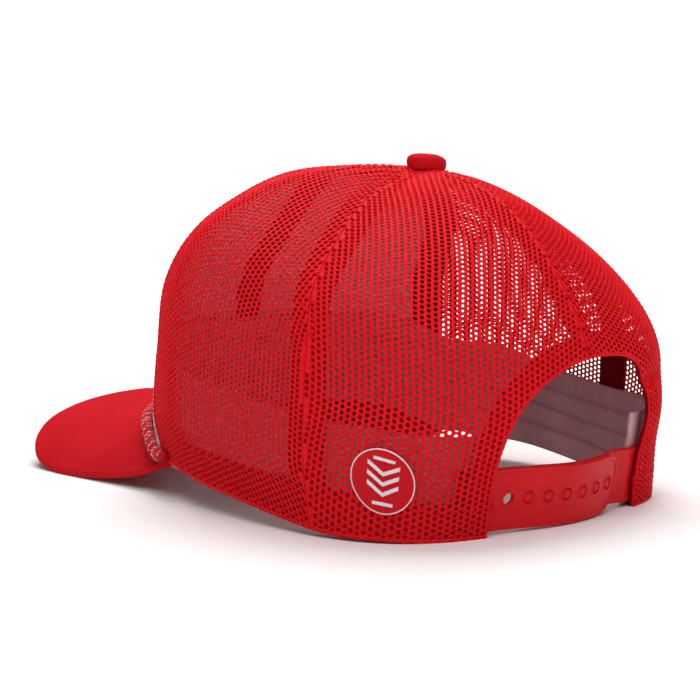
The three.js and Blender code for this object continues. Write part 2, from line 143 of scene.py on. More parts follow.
# Strap
STRAP_HEIGHT = 21.6
STRAP_BOTTOM = 1.2
STRAP_MIDDLE = STRAP_BOTTOM + STRAP_HEIGHT / 2
STRAP_THICK = 1.6
STRAP_TAIL = 12.0
STRAP_END = 26.0
STRAP_STEP = 12.0
STRAP_BULGE = 2.0
STRAP_INSET = 2.0
STRAP_DEPTH = TAPE_DEPTH + TAPE_THICK + GAP
INNER_STRAP_HEIGHT = 20.4
SNAP_COUNT = 7
SNAP_PITCH = 8.4
FIRST_SNAP = 31.0
SNAP_RADIUS = 2.2
POST_RADIUS = 1.7
SNAP_FRAME = 3.9

# Rings of the crown from the rim to the top, as shares of the crown's sizes. Columns: front reach,
# front height, front seam height, side reach, side height, back reach, back height, back roundness.
RINGS = np.array([
    [1.07, 0.205, 0.11, 0.972, 0.008, 0.906, 0, 3.4],
    [1.025, 0.313, 0.266, 1, 0.203, 0.946, 0.156, 3],
    [0.975, 0.453, 0.453, 1, 0.367, 0.995, 0.32, 2.8],
    [0.918, 0.648, 0.656, 0.981, 0.516, 0.981, 0.469, 2.8],
    [0.72, 0.82, 0.813, 0.905, 0.641, 0.909, 0.602, 2.6],
    [0.53, 0.953, 0.922, 0.708, 0.773, 0.77, 0.758, 2.45],
    [0.395, 1.023, 0.984, 0.494, 0.875, 0.591, 0.883, 2.2],
    [0.176, 1.02, 1.004, 0.258, 0.945, 0.384, 0.961, 2.1],
])

# Free edge of the visor from its rear corner to its middle. Columns: half width and reach beyond
# the seam corner as shares, and height of the under face as a share of the rise.
VISOR_EDGE = np.array([
    [0.906, 0, 0.49],
    [0.936, 0.095, 0.28],
    [0.953, 0.25, 0.1],
    [0.983, 0.422, 0],
    [1, 0.565, 0],
    [0.983, 0.69, 0.17],
    [0.89, 0.79, 0.47],
    [0.709, 0.87, 0.75],
    [0.395, 0.952, 0.94],
    [0, 1, 1],
    [-0.395, 0.952, 0.94],
])

SIZED_RINGS = np.vstack([
    RINGS * [FRONT_REACH, CROWN_HEIGHT, CROWN_HEIGHT, SIDE_REACH, CROWN_HEIGHT, BACK_REACH, CROWN_HEIGHT, 1],
    [-APEX_BACK, CROWN_HEIGHT, CROWN_HEIGHT, 0, CROWN_HEIGHT, APEX_BACK, CROWN_HEIGHT, TOP_ROUND],
])


def frame_shift():
    """Distance in millimetres along Y from the crown's own middle to the frame's: the button's place less its share."""
    low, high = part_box("button")
    return (low.y + high.y) / 2 / MM - APEX_BACK


SHIFT = frame_shift()


def ease(t):
    """Smooth step: three times the square less twice the cube of t, held between 0 and 1."""
    c = np.clip(t, 0, 1)
    return c * c * (3 - 2 * c)


def mix(a, b, t):
    """Straight blend from a to b."""
    return a + (b - a) * t


def bump(distance, width):
    """Bell of height 1: the exponential of minus the squared ratio of distance to width."""
    return np.exp(-((distance / width) ** 2))


def unit(vectors):
    """Each vector over its own length."""
    return vectors / np.maximum(np.linalg.norm(vectors, axis=-1, keepdims=True), 1e-9)


def through(rows, t):
    """Catmull-Rom curve through the rows of a table, t steps along it, its ends carried on in a line."""
    padded = np.vstack([2 * rows[0] - rows[1], rows, 2 * rows[-1] - rows[-2]])
    t = np.asarray(t, float)
    i = np.clip(np.floor(t).astype(int), 0, len(rows) - 2)
    f = (t - i)[..., None]
    p0, p1, p2, p3 = padded[i], padded[i + 1], padded[i + 2], padded[i + 3]
    bend = (2 * p0 - 5 * p1 + 4 * p2 - p3) * f * f + (3 * p1 - p0 - 3 * p2 + p3) * f**3
    return 0.5 * (2 * p1 + (p2 - p0) * f + bend)


def crown_face(turn, share):
    """Outer face of the wearer's left half: a superellipse in plan whose reaches, height and power follow
    the rings, at a turn in degrees from the front and a share from the rim (0) to the point (1)."""
    turn, share = np.broadcast_arrays(np.asarray(turn, float), np.asarray(share, float))
    ring = through(SIZED_RINGS, share * (len(SIZED_RINGS) - 1))
    front, front_z, seam_z, side, side_z, back, back_z, round_power = np.moveaxis(ring, -1, 0)
    sine = np.abs(np.sin(np.radians(turn)))
    cosine = np.cos(np.radians(turn))
    power = mix(mix(FRONT_ROUND, TOP_ROUND, share), round_power, ease((turn - ROUND_START) / ROUND_TURN))
    middle = APEX_BACK * share**3
    along = np.abs(cosine) ** (2 / power)
    y = np.where(cosine > 0, middle - (front + middle) * along, middle + (back - middle) * along)
    x = side * sine ** (2 / power) * np.where(turn > 180, -1, 1) * np.where(turn < 0, -1, 1)
    z = mix(side_z, back_z, ease((turn - LOW_SIDE) / (BACK_FLAT - LOW_SIDE)))
    z = np.where(turn < LOW_SIDE, mix(seam_z, side_z, ease((turn - FRONT_SEAM) / (LOW_SIDE - FRONT_SEAM))), z)
    bend = mix(RIM_BEND, 1, ease(share / BEND_SHARE))
    z = np.where(turn < FRONT_SEAM, mix(front_z, seam_z, ease((np.abs(turn) / FRONT_SEAM) ** bend)), z)
    return np.stack([x, y, np.maximum(z, 0)], -1)


def seam_at(seam, share):
    """Turn of a seam at a share. The front side seam leans forwards just above the rim, by a smooth step."""
    share = np.asarray(share, float)
    return seam - (SEAM_LEAN * ease(share / LEAN_SHARE) if seam == FRONT_SEAM else 0 * share)


def crown_slopes(turn, share):
    """Change of the face for one degree round and for a whole share up, by central differences."""
    step = 0.004
    low = np.maximum(np.asarray(share, float) - step, 0)
    high = np.minimum(np.asarray(share, float) + step, 1)
    around = crown_face(turn + 0.5, share) - crown_face(turn - 0.5, share)
    up = (crown_face(turn, high) - crown_face(turn, low)) / (high - low)[..., None]
    return around, up


def cloth_relief(turn, share, face, degree, hand):
    """Millimetres that the cloth stands out: a low swelling along each seam, slow waves in the free
    cloth, pleats that gather to the button, and a dent in the wearer's right leg of the opening."""
    seams = [seam_at(seam, share) for seam in (0.0, FRONT_SEAM, SIDE_SEAM, BACK_SEAM)]
    apart = np.min([np.abs(turn - seam) for seam in seams], axis=0) * degree
    seam = 0.5 * bump(apart, 5.5)
    x, y, z = face[..., 0] * hand, face[..., 1], face[..., 2]
    free = ease(apart / 12)
    wave = 0.26 * np.sin(x / 11 + 0.7 * hand) * np.sin(z / 15 + y / 26)
    wave += 0.16 * np.sin(y / 8.5 + z / 21 + 1.9 * hand) * np.sin(z / 9 - x / 31)
    gather = 0.3 * ease((share - 0.72) / 0.16) * (1 - ease((share - 0.93) / 0.04)) * np.cos(np.radians(turn) * 34)
    dent = np.zeros_like(x)
    if hand < 0:
        dent = (2.2 * bump(z - 50, 4) - 1.2 * bump(z - 35, 11)) * bump(np.abs(x) - 45, 12) * (y > 0)
    return seam + wave * free * ease(z / 18) + gather * ease(apart / 3) - dent


def crown_point(turn, share, depth, hand=1):
    """Point a depth under the face along its normal, which is the cross product of the two slopes, with the
    cloth's relief added. The rim is cut level. A hand of -1 mirrors it to the wearer's right."""
    turn, share, depth = np.broadcast_arrays(*(np.asarray(a, float) for a in (turn, share, depth)))
    around, up = crown_slopes(turn, share)
    normal = unit(np.cross(around, up))
    face = crown_face(turn, share)
    degree = np.linalg.norm(around, axis=-1)
    point = face + normal * (cloth_relief(turn, share, face, degree, hand) - depth)[..., None]
    level = ease(share / 0.02)
    point[..., 2] = np.maximum(mix(face[..., 2], point[..., 2], level), 0)
    point[..., 0] *= hand
    return point


def plain_point(turn, share, depth):
    """Point a depth under the crown's face along its normal, without the cloth's relief."""
    around, up = crown_slopes(turn, share)
    return crown_face(turn, share) - unit(np.cross(around, up)) * np.asarray(depth, float)[..., None]


def turn_of(distance, turn, share):
    """Degrees that a distance along the crown takes up."""
    around, _ = crown_slopes(turn, share)
    return distance / np.linalg.norm(around, axis=-1)


SHARE_TABLE = np.linspace(0, 1, 801)
BACK_HEIGHT_TABLE = through(SIZED_RINGS, SHARE_TABLE * (len(SIZED_RINGS) - 1))[:, 6]


def back_height(share):
    """Height of the middle of the back at a share."""
    return np.interp(share, SHARE_TABLE, BACK_HEIGHT_TABLE)


def back_share(height):
    """Share at which the middle of the back reaches a height."""
    return np.interp(height, BACK_HEIGHT_TABLE, SHARE_TABLE)


def back_turn(x, share):
    """Turn of the back face at a distance from the middle plane: the superellipse's own formula solved for it."""
    ring = through(SIZED_RINGS, np.asarray(share, float) * (len(SIZED_RINGS) - 1))
    ratio = np.clip(np.abs(x) / np.maximum(ring[..., 3], 1e-6), 0, 1)
    return 180 - np.degrees(np.arcsin(ratio ** (ring[..., 7] / 2)))


def back_point(x, height, depth):
    """Point of the back at a signed distance from the middle plane and a height, at a depth."""
    share = back_share(height)
    left = crown_point(back_turn(x, share), share, depth, 1)
    right = crown_point(back_turn(x, share), share, depth, -1)
    return np.where((np.asarray(x) < 0)[..., None], right, left)


def arch_reach(x, height):
    """How far out a point lies from the foot of the opening's middle, as a share of the edge's distance the
    same way. The edge is where the width ratio, counted from the leaning middle line and to that side's power,
    and the height ratio to its own power add up to 1."""
    low = np.full(np.shape(x), 1e-3)
    high = np.full(np.shape(x), 400.0)
    for _ in range(40):
        k = np.sqrt(low * high)
        beside = k * x + ARCH_LEAN
        left = beside >= 0
        ratio = np.abs(beside) / (ARCH_HALF_WIDTH + np.where(left, ARCH_LEAN, -ARCH_LEAN))
        value = ratio ** np.where(left, ARCH_LEFT_POWER, ARCH_RIGHT_POWER)
        value = value + (k * height / ARCH_HEIGHT) ** ARCH_TOP_POWER
        low = np.where(value < 1, k, low)
        high = np.where(value < 1, high, k)
    return 1 / np.sqrt(low * high)


def arch_line(margin, count):
    """Side distances and heights along the opening's edge grown by a margin, evenly turned from left to right."""
    turn = np.linspace(0, np.pi, count)
    side = np.where(np.cos(turn) > 0, 1, -1)
    power = np.where(side > 0, ARCH_LEFT_POWER, ARCH_RIGHT_POWER)
    reach = ARCH_HALF_WIDTH + margin + side * ARCH_LEAN
    height = (ARCH_HEIGHT + margin) * np.sin(turn) ** (2 / ARCH_TOP_POWER)
    return side * reach * np.abs(np.cos(turn)) ** (2 / power) - ARCH_LEAN, height


def even_steps(points, spacing):
    """Fractional positions along a line of points that lie a spacing apart, by running length."""
    run = np.concatenate([[0], np.cumsum(np.linalg.norm(np.diff(points, axis=0), axis=1))])
    count = max(int(run[-1] / spacing), 2)
    return np.interp(np.linspace(0, run[-1], count), run, np.arange(len(points)))


def at_steps(values, steps):
    """Values of an array at fractional positions along its first axis."""
    i = np.clip(np.floor(steps).astype(int), 0, len(values) - 2)
    f = (steps - i).reshape((-1,) + (1,) * (values.ndim - 1))
    return values[i] * (1 - f) + values[i + 1] * f


def signed_volume(points, loops, starts, sizes):
    """Six times the volume: the sum of triple products over the fan of each face."""
    total = 0.0
    for size in np.unique(sizes):
        picks = starts[sizes == size]
        corner = points[loops[picks]]
        for k in range(1, size - 1):
            second = points[loops[picks + k]]
            third = points[loops[picks + k + 1]]
            total += np.einsum("ij,ij->i", corner, np.cross(second, third)).sum()
    return total


def add_object(name, data):
    """New object in the scene that holds a mesh, a light or a camera."""
    item = bpy.data.objects.new(name, data)
    bpy.context.scene.collection.objects.link(item)
    return item


def make_piece(name, points, faces, material, stands_for=(), uv=None, tint=None, weld=False):
    """Mesh from arrays of points in millimetres and of faces (each array holds faces of one size), turned so
    that its volume is positive. uv is in millimetres of cloth, tint is a colour for each point."""
    points = np.asarray(points, float) + [0, SHIFT, 0]
    faces = [np.asarray(f, int) for f in faces if len(f)]
    sizes = np.concatenate([np.full(len(f), f.shape[1]) for f in faces])
    starts = np.concatenate([[0], np.cumsum(sizes)[:-1]])
    loops = np.concatenate([f.ravel() for f in faces])
    if signed_volume(points - points.mean(0), loops, starts, sizes) < 0:
        loops = np.concatenate([f[:, ::-1].ravel() for f in faces])
    mesh = bpy.data.meshes.new(name)
    mesh.vertices.add(len(points))
    mesh.vertices.foreach_set("co", (points * MM).astype(np.float32).ravel())
    mesh.loops.add(len(loops))
    mesh.loops.foreach_set("vertex_index", loops.astype(np.int32))
    mesh.polygons.add(len(starts))
    mesh.polygons.foreach_set("loop_start", starts.astype(np.int32))
    mesh.update(calc_edges=True)
    if uv is not None:
        layer = mesh.uv_layers.new(name="cloth")
        layer.data.foreach_set("uv", (np.asarray(uv)[loops] * MM).astype(np.float32).ravel())
    if tint is not None:
        layer = mesh.color_attributes.new(name="tint", type="FLOAT_COLOR", domain="POINT")
        rgba = np.hstack([tint, np.ones((len(tint), 1))])
        layer.data.foreach_set("color", rgba.astype(np.float32).ravel())
    mesh.validate()
    if weld:
        work = bmesh.new()
        work.from_mesh(mesh)
        bmesh.ops.remove_doubles(work, verts=work.verts, dist=4e-6)
        bmesh.ops.dissolve_degenerate(work, edges=work.edges, dist=2e-6)
        work.to_mesh(mesh)
        work.free()
    mesh.shade_smooth()
    piece = add_object(name, mesh)
    mesh.materials.append(material)
    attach(piece, "root")
    if stands_for:
        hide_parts(*stands_for)
    return piece


def grid_quads(rows, columns):
    """Faces between neighbouring points of a grid that is stored row by row."""
    index = np.arange(rows * columns).reshape(rows, columns)
    return np.stack([index[:-1, :-1], index[:-1, 1:], index[1:, 1:], index[1:, :-1]], -1).reshape(-1, 4)


def border_walls(directed, shift):
    """Faces from the border edges of a sheet to the same edges of its twin, shift places on. A border edge is
    one whose reverse isn't in the list."""
    directed = np.asarray(directed)
    base = directed.max() + 1
    key = directed[:, 0] * base + directed[:, 1]
    reverse = directed[:, 1] * base + directed[:, 0]
    border = directed[~np.isin(reverse, key)]
    return np.stack([border[:, 1], border[:, 0], border[:, 0] + shift, border[:, 1] + shift], -1)


def edges_of(faces):
    """Directed edges of an array of faces of one size."""
    return np.stack([faces, np.roll(faces, -1, axis=1)], -1).reshape(-1, 2)


def wall_between(outer, inner, faces=None):
    """Closed wall between two grids of points: both sheets and the walls along their borders."""
    rows, columns = outer.shape[:2]
    count = rows * columns
    if faces is None:
        faces = grid_quads(rows, columns)
    points = np.vstack([outer.reshape(-1, 3), inner.reshape(-1, 3)])
    back = faces[:, ::-1] + count
    return points, [faces, back, border_walls(edges_of(faces), count)]


def grid_uv(points):
    """Cloth lengths along the rows and columns of a grid, counted from its middle column and first row."""
    across = np.linalg.norm(np.diff(points, axis=1), axis=2)
    across = np.hstack([np.zeros((len(points), 1)), np.cumsum(across, axis=1)])
    across -= across[:, [points.shape[1] // 2]]
    up = np.linalg.norm(np.diff(points, axis=0), axis=2)
    up = np.vstack([np.zeros((1, points.shape[1])), np.cumsum(up, axis=0)])
    up[:] = up[:, [points.shape[1] // 2]]
    flat = np.stack([across, up], -1).reshape(-1, 2)
    return np.vstack([flat, flat])


def wall_piece(name, grids, material, stands_for=()):
    """Closed wall between an outer and an inner grid, with the outer one's cloth lengths as its map."""
    outer, inner = grids
    points, faces = wall_between(outer, inner)
    return make_piece(name, points, faces, material, stands_for, uv=grid_uv(outer))


def tube_faces(stations, sides):
    """Faces of a tube with closed ends, its points stored ring by ring."""
    i, j = np.meshgrid(np.arange(stations - 1), np.arange(sides), indexing="ij")
    k = (j + 1) % sides
    quads = np.stack([i * sides + j, i * sides + k, (i + 1) * sides + k, (i + 1) * sides + j], -1).reshape(-1, 4)
    ends = np.array([np.arange(sides)[::-1], (stations - 1) * sides + np.arange(sides)])
    return [quads, ends]


def tube_uv(stations, sides, along, around):
    """Cloth lengths of a tube: a step for each ring and a step for each side."""
    grid = np.meshgrid(np.arange(stations) * along, np.arange(sides) * around, indexing="ij")
    return np.stack(grid, -1).reshape(-1, 2)


def ring_quads(first, second):
    """Faces between two sets of closed rings of points, given as rows of indices."""
    after = np.roll(np.arange(first.shape[1]), -1)
    return np.stack([first, first[:, after], second[:, after], second], -1).reshape(-1, 4)


def two_tints(pale_here, red, pale):
    """Colour of each point: pale where the mask says so, and red elsewhere."""
    return np.where(pale_here.reshape(-1, 1), np.array(pale), np.array(red))


def tube_along(path, radius, sides, up=(0, 0, 1)):
    """Rings of points round a path: the path's point plus the radius times cosine and sine of two unit vectors
    square to its direction. The radius may differ for each ring and side."""
    ahead = unit(np.gradient(path, axis=0))
    side = unit(np.cross(ahead, np.broadcast_to(np.asarray(up, float), path.shape)))
    top = np.cross(side, ahead)
    turn = np.linspace(0, 2 * np.pi, sides, endpoint=False)
    radius = np.broadcast_to(radius, (len(path), sides))[..., None]
    ring = side[:, None] * np.cos(turn)[None, :, None] + top[:, None] * np.sin(turn)[None, :, None]
    return path[:, None] + ring * radius


def stitch_row(path, out, spacing=2.9, length=2.1, width=0.5, height=0.36):
    """Row of stitches: small spindles of 6 sides laid end to end on a path, squashed along the outward
    vector. Returns points and faces for joining with other rows."""
    steps = even_steps(path, spacing)
    centre = at_steps(path, steps)
    ahead = unit(at_steps(np.gradient(path, axis=0), steps))
    out = unit(at_steps(out, steps))
    out = unit(out - ahead * np.sum(out * ahead, axis=1, keepdims=True))
    side = np.cross(ahead, out)
    run = np.array([-0.5, -0.36, 0, 0.36, 0.5]) * length
    wide = np.array([0.15, 0.8, 1, 0.8, 0.15])
    turn = np.linspace(0, 2 * np.pi, 6, endpoint=False)
    local = np.stack([
        np.repeat(run, 6),
        np.outer(wide, np.cos(turn)).ravel() * width / 2,
        np.outer(wide, np.sin(turn)).ravel() * height / 2,
    ], -1)
    points = centre[:, None] + local[None, :, :1] * ahead[:, None]
    points = points + local[None, :, 1:2] * side[:, None] + local[None, :, 2:] * out[:, None]
    quads, ends = tube_faces(5, 6)
    shifts = (np.arange(len(centre)) * 30)[:, None, None]
    return points.reshape(-1, 3), (quads[None] + shifts).reshape(-1, 4), (ends[None] + shifts).reshape(-1, 6)


def stitch_piece(name, rows, material):
    """Several rows of stitches as one piece."""
    points, quads, ends = [], [], []
    start = 0
    for row_points, row_quads, row_ends in rows:
        points.append(row_points)
        quads.append(row_quads + start)
        ends.append(row_ends + start)
        start += len(row_points)
    return make_piece(name, np.vstack(points), [np.vstack(quads), np.vstack(ends)], material)


# Materials


def add_node(tree, kind, **values):
    """New node; a value names a property of the node, or else one of its input sockets."""
    item = tree.nodes.new(kind)
    for key, value in values.items():
        if hasattr(item, key):
            setattr(item, key, value)
        else:
            item.inputs[key.replace("_", " ")].default_value = value
    return item


def wire(tree, source, target):
    """Link from an output socket to an input socket."""
    tree.links.new(source, target)


def math_node(tree, operation, first, second=None):
    """Math node; each operand is a socket or a number."""
    item = tree.nodes.new("ShaderNodeMath")
    item.operation = operation
    for k, value in enumerate([first, second]):
        if value is None:
            continue
        if isinstance(value, (int, float)):
            item.inputs[k].default_value = value
        else:
            wire(tree, value, item.inputs[k])
    return item.outputs[0]


def new_finish(name, roughness, sheen=0.0, specular=0.5):
    """Material with its shader's constant values set, its tree and its shader."""
    material = bpy.data.materials.new(name)
    material.use_nodes = True
    tree = material.node_tree
    shader = tree.nodes["Principled BSDF"]
    constants = {
        "Roughness": roughness, "Sheen Weight": sheen, "Sheen Roughness": 0.45,
        "Sheen Tint": (1.0, 0.25, 0.28, 1.0), "Specular IOR Level": specular,
    }
    for socket, value in constants.items():
        shader.inputs[socket].default_value = value
    return material, tree, shader


def waves(tree, across, pitch):
    """Sine of a length over a pitch, from 0 to 1."""
    turned = math_node(tree, "MULTIPLY", across, 2 * math.pi / pitch)
    sine = math_node(tree, "SINE", turned)
    return math_node(tree, "MULTIPLY_ADD", sine, 0.5)


def cloth_axes(tree):
    """The two cloth lengths, in metres, from the piece's own map."""
    uv = add_node(tree, "ShaderNodeUVMap", uv_map="cloth")
    parts = add_node(tree, "ShaderNodeSeparateXYZ")
    wire(tree, uv.outputs[0], parts.inputs[0])
    return parts.outputs[0], parts.outputs[1]


def noise_on_object(tree, scale, detail, roughness):
    """Noise on the object's own coordinates, as an output socket."""
    place = add_node(tree, "ShaderNodeTexCoord")
    noise = add_node(tree, "ShaderNodeTexNoise", Scale=scale, Detail=detail, Roughness=roughness)
    wire(tree, place.outputs["Object"], noise.inputs["Vector"])
    return noise.outputs[0]


def patchy_colour(tree, shader, dark, light, scale):
    """Base colour between two shades, by slow noise on the object's own coordinates."""
    ramp = add_node(tree, "ShaderNodeValToRGB")
    ramp.color_ramp.elements[0].position = 0.32
    ramp.color_ramp.elements[0].color = (*dark, 1)
    ramp.color_ramp.elements[1].position = 0.68
    ramp.color_ramp.elements[1].color = (*light, 1)
    wire(tree, noise_on_object(tree, scale, 3.0, 0.6), ramp.inputs[0])
    wire(tree, ramp.outputs[0], shader.inputs["Base Color"])


def bump_from(tree, shader, height, distance, strength=1.0):
    """Bump of a height in the shader, with its depth in metres."""
    item = add_node(tree, "ShaderNodeBump", Strength=strength, Distance=distance)
    wire(tree, height, item.inputs["Height"])
    wire(tree, item.outputs[0], shader.inputs["Normal"])


def weave_height(tree, warp, weft, pitch):
    """Plain weave: the larger of two crossed ribs, each lifted where the other dips."""
    first = waves(tree, warp, pitch)
    second = waves(tree, weft, pitch)
    over = math_node(tree, "MULTIPLY", first, second)
    dips = [math_node(tree, "SUBTRACT", 1.0, wave) for wave in (first, second)]
    under = math_node(tree, "MULTIPLY", *dips)
    return math_node(tree, "MAXIMUM", over, under)


def twill_height(tree, warp, weft, pitch):
    """Twill: ribs along the diagonal of the cloth, broken by the weft."""
    slant = math_node(tree, "ADD", warp, weft)
    rib = waves(tree, slant, pitch)
    cross = waves(tree, weft, pitch * 0.7)
    return math_node(tree, "ADD", math_node(tree, "MULTIPLY", rib, 0.7), math_node(tree, "MULTIPLY", cross, 0.3))


def woven_finish(name, dark, light, pitch, depth, roughness, sheen=0.02, twill=False, patch=60.0):
    """Woven cloth: patchy colour, and weave or twill as bump on the cloth's own lengths."""
    material, tree, shader = new_finish(name, roughness, sheen, specular=0.05)
    patchy_colour(tree, shader, dark, light, patch)
    warp, weft = cloth_axes(tree)
    height = (twill_height if twill else weave_height)(tree, warp, weft, pitch)
    bump_from(tree, shader, height, depth)
    return material


def yarn_finish(name, dark, light, roughness=0.6, sheen=0.03, scale=2600.0, depth=0.00012):
    """Yarn: patchy colour with fine noise as its fibres."""
    material, tree, shader = new_finish(name, roughness, sheen, specular=0.07)
    patchy_colour(tree, shader, dark, light, 900.0)
    bump_from(tree, shader, noise_on_object(tree, scale, 2.0, 0.7), depth, 0.8)
    return material


def tinted_finish(name, roughness, sheen, scale, depth):
    """Thread whose colour is stored on the piece's points, a little uneven, with fine fibres as bump."""
    material, tree, shader = new_finish(name, roughness, sheen, specular=0.12)
    tint = add_node(tree, "ShaderNodeVertexColor", layer_name="tint")
    fibre = noise_on_object(tree, scale, 2.0, 0.7)
    shade = add_node(tree, "ShaderNodeMapRange", To_Min=0.82, To_Max=1.1)
    wire(tree, fibre, shade.inputs[0])
    blend = add_node(tree, "ShaderNodeMix", data_type="RGBA", blend_type="MULTIPLY")
    blend.inputs[0].default_value = 1.0
    wire(tree, tint.outputs[0], blend.inputs[6])
    wire(tree, shade.outputs[0], blend.inputs[7])
    wire(tree, blend.outputs[2], shader.inputs["Base Color"])
    bump_from(tree, shader, fibre, depth, 0.6)
    return material


def plastic_finish(name, dark, light):
    """Moulded plastic: near even colour with a very fine satin grain."""
    material, tree, shader = new_finish(name, 0.42, 0.0, specular=0.14)
    patchy_colour(tree, shader, dark, light, 40.0)
    bump_from(tree, shader, noise_on_object(tree, 1400.0, 2.0, 0.5), 0.00003, 0.5)
    return material


NET_YARN = yarn_finish("net_yarn", (0.66, 0.005, 0.01), (0.84, 0.009, 0.018))
# Turned-in net behind the seams, rim and opening: the same red net yarn, its colour darkened as painted shade from
# lying behind the outer net.
SHADED_UNDER_NET = yarn_finish("under_net_painted_shade", (0.42, 0.003, 0.006), (0.6, 0.006, 0.011), roughness=0.8)
RED_THREAD = yarn_finish("red_thread", (0.66, 0.006, 0.012), (0.82, 0.014, 0.022), roughness=0.55)
WHITE_THREAD = yarn_finish("white_thread", (0.8, 0.78, 0.8), (0.92, 0.9, 0.92), roughness=0.6)
# Sweatband thread: pale greyish mauve like the band, made redder as painted red bounce light from the net.
BAND_THREAD_WITH_RED_BOUNCE = yarn_finish("band_thread_painted_bounce", (0.44, 0.23, 0.25), (0.54, 0.3, 0.32), roughness=0.7)
FRONT_CLOTH = woven_finish("front_cloth", (0.76, 0.73, 0.76), (0.84, 0.81, 0.84), 0.0007, 0.00012, 0.9)
# Seam tapes and opening binding: dark red tape cloth, its colour darkened further as painted shade from lying inside
# the crown.
DARK_TAPE_WITH_PAINTED_SHADE = woven_finish("dark_tape_with_painted_shade", (0.2, 0.003, 0.006), (0.26, 0.004, 0.008), 0.0009, 0.00025, 0.9, twill=True)
# Sweatband cloth: its own pale greyish mauve, made redder as painted red bounce light from the net inside the crown.
BAND_CLOTH_WITH_RED_BOUNCE = woven_finish("band_cloth", (0.58, 0.33, 0.36), (0.68, 0.42, 0.45), 0.0008, 0.0001, 0.95, twill=True)
VISOR_CLOTH = woven_finish("visor_cloth", (0.53, 0.006, 0.012), (0.58, 0.008, 0.016), 0.0006, 0.00008, 0.8, twill=True)
CORD_RED, CORD_WHITE = (0.52, 0.008, 0.016), (0.86, 0.82, 0.84)
BADGE_RED, BADGE_WHITE = (0.6, 0.006, 0.013), (0.88, 0.8, 0.86)
BRAID_YARN = tinted_finish("braid_yarn", 0.7, 0.03, 2200.0, 0.0001)
BADGE_YARN = tinted_finish("badge_yarn", 0.55, 0.05, 3000.0, 0.00006)
STRAP_PLASTIC = plastic_finish("strap_plastic", (0.64, 0.005, 0.011), (0.7, 0.007, 0.014))


# Net


def net_chart(first, last):
    """Flat map of a panel: rows at even shares, whose length from the panel's middle line is the first cloth
    length and whose running length up that line is the second. Returns the shares, the running lengths, the
    rows' two ends and the turns at even parts of each row."""
    shares = np.linspace(0, TOP_SHARE, 181)
    start = seam_at(first, shares)[:, None]
    turns = start + (last - start) * np.linspace(0, 1, 141)[None]
    face = crown_face(turns, shares[:, None])
    across = np.hstack([
        np.zeros((len(shares), 1)),
        np.cumsum(np.linalg.norm(np.diff(face, axis=1), axis=2), axis=1),
    ])
    across -= across[:, [70]]
    up = np.concatenate([[0], np.cumsum(np.linalg.norm(np.diff(face[:, 70], axis=0), axis=1))])
    even = np.linspace(0, 1, 141)
    table = np.array([
        np.interp(row[0] + even * (row[-1] - row[0]), row, turn)
        for row, turn in zip(across, turns)
    ])
    return shares, up, across[:, 0], across[:, -1], table


def bilinear(table, i, j):
    """Value of a table at fractional row and column."""
    i = np.clip(i, 0, table.shape[0] - 1.001)
    j = np.clip(j, 0, table.shape[1] - 1.001)
    i0 = np.floor(i).astype(int)
    j0 = np.floor(j).astype(int)
    f = i - i0
    g = j - j0
    low = table[i0, j0] * (1 - g) + table[i0, j0 + 1] * g
    high = table[i0 + 1, j0] * (1 - g) + table[i0 + 1, j0 + 1] * g
    return low * (1 - f) + high * f


def net_place(chart, cloth, has_arch, hand):
    """Turn and share of points of the flat net, pulled back to the seams, the rim and the opening's edge, and
    each point's distance inside those borders."""
    shares, up, left, right, table = chart
    u, v = cloth[..., 0], cloth[..., 1]
    row = np.interp(v, up, np.arange(len(up)))
    low = np.interp(v, up, left) + NET_EDGE
    high = np.interp(v, up, right) - NET_EDGE
    inside = np.minimum(np.minimum(u - low, high - u), np.minimum(v, up[-1] - v))
    held = np.clip(u, low, high)
    part = (held - low + NET_EDGE) / (high - low + 2 * NET_EDGE)
    turn = bilinear(table, row, part * (table.shape[1] - 1))
    share = np.interp(v, up, shares)
    if has_arch:
        x = crown_face(turn, share)[..., 0] * hand
        height = back_height(share)
        reach = arch_reach(x, height)
        behind = turn > BEHIND
        away = (1 - 1 / np.maximum(reach, 1e-3)) * np.hypot(x, height)
        inside = np.where(behind, np.minimum(inside, away), inside)
        push = behind & (reach < 1)
        new_share = back_share(height / reach)
        new_turn = back_turn(x / reach, new_share)
        share = np.where(push, new_share, share)
        turn = np.where(push, np.minimum(new_turn, 179.8), turn)
    return turn, share, inside


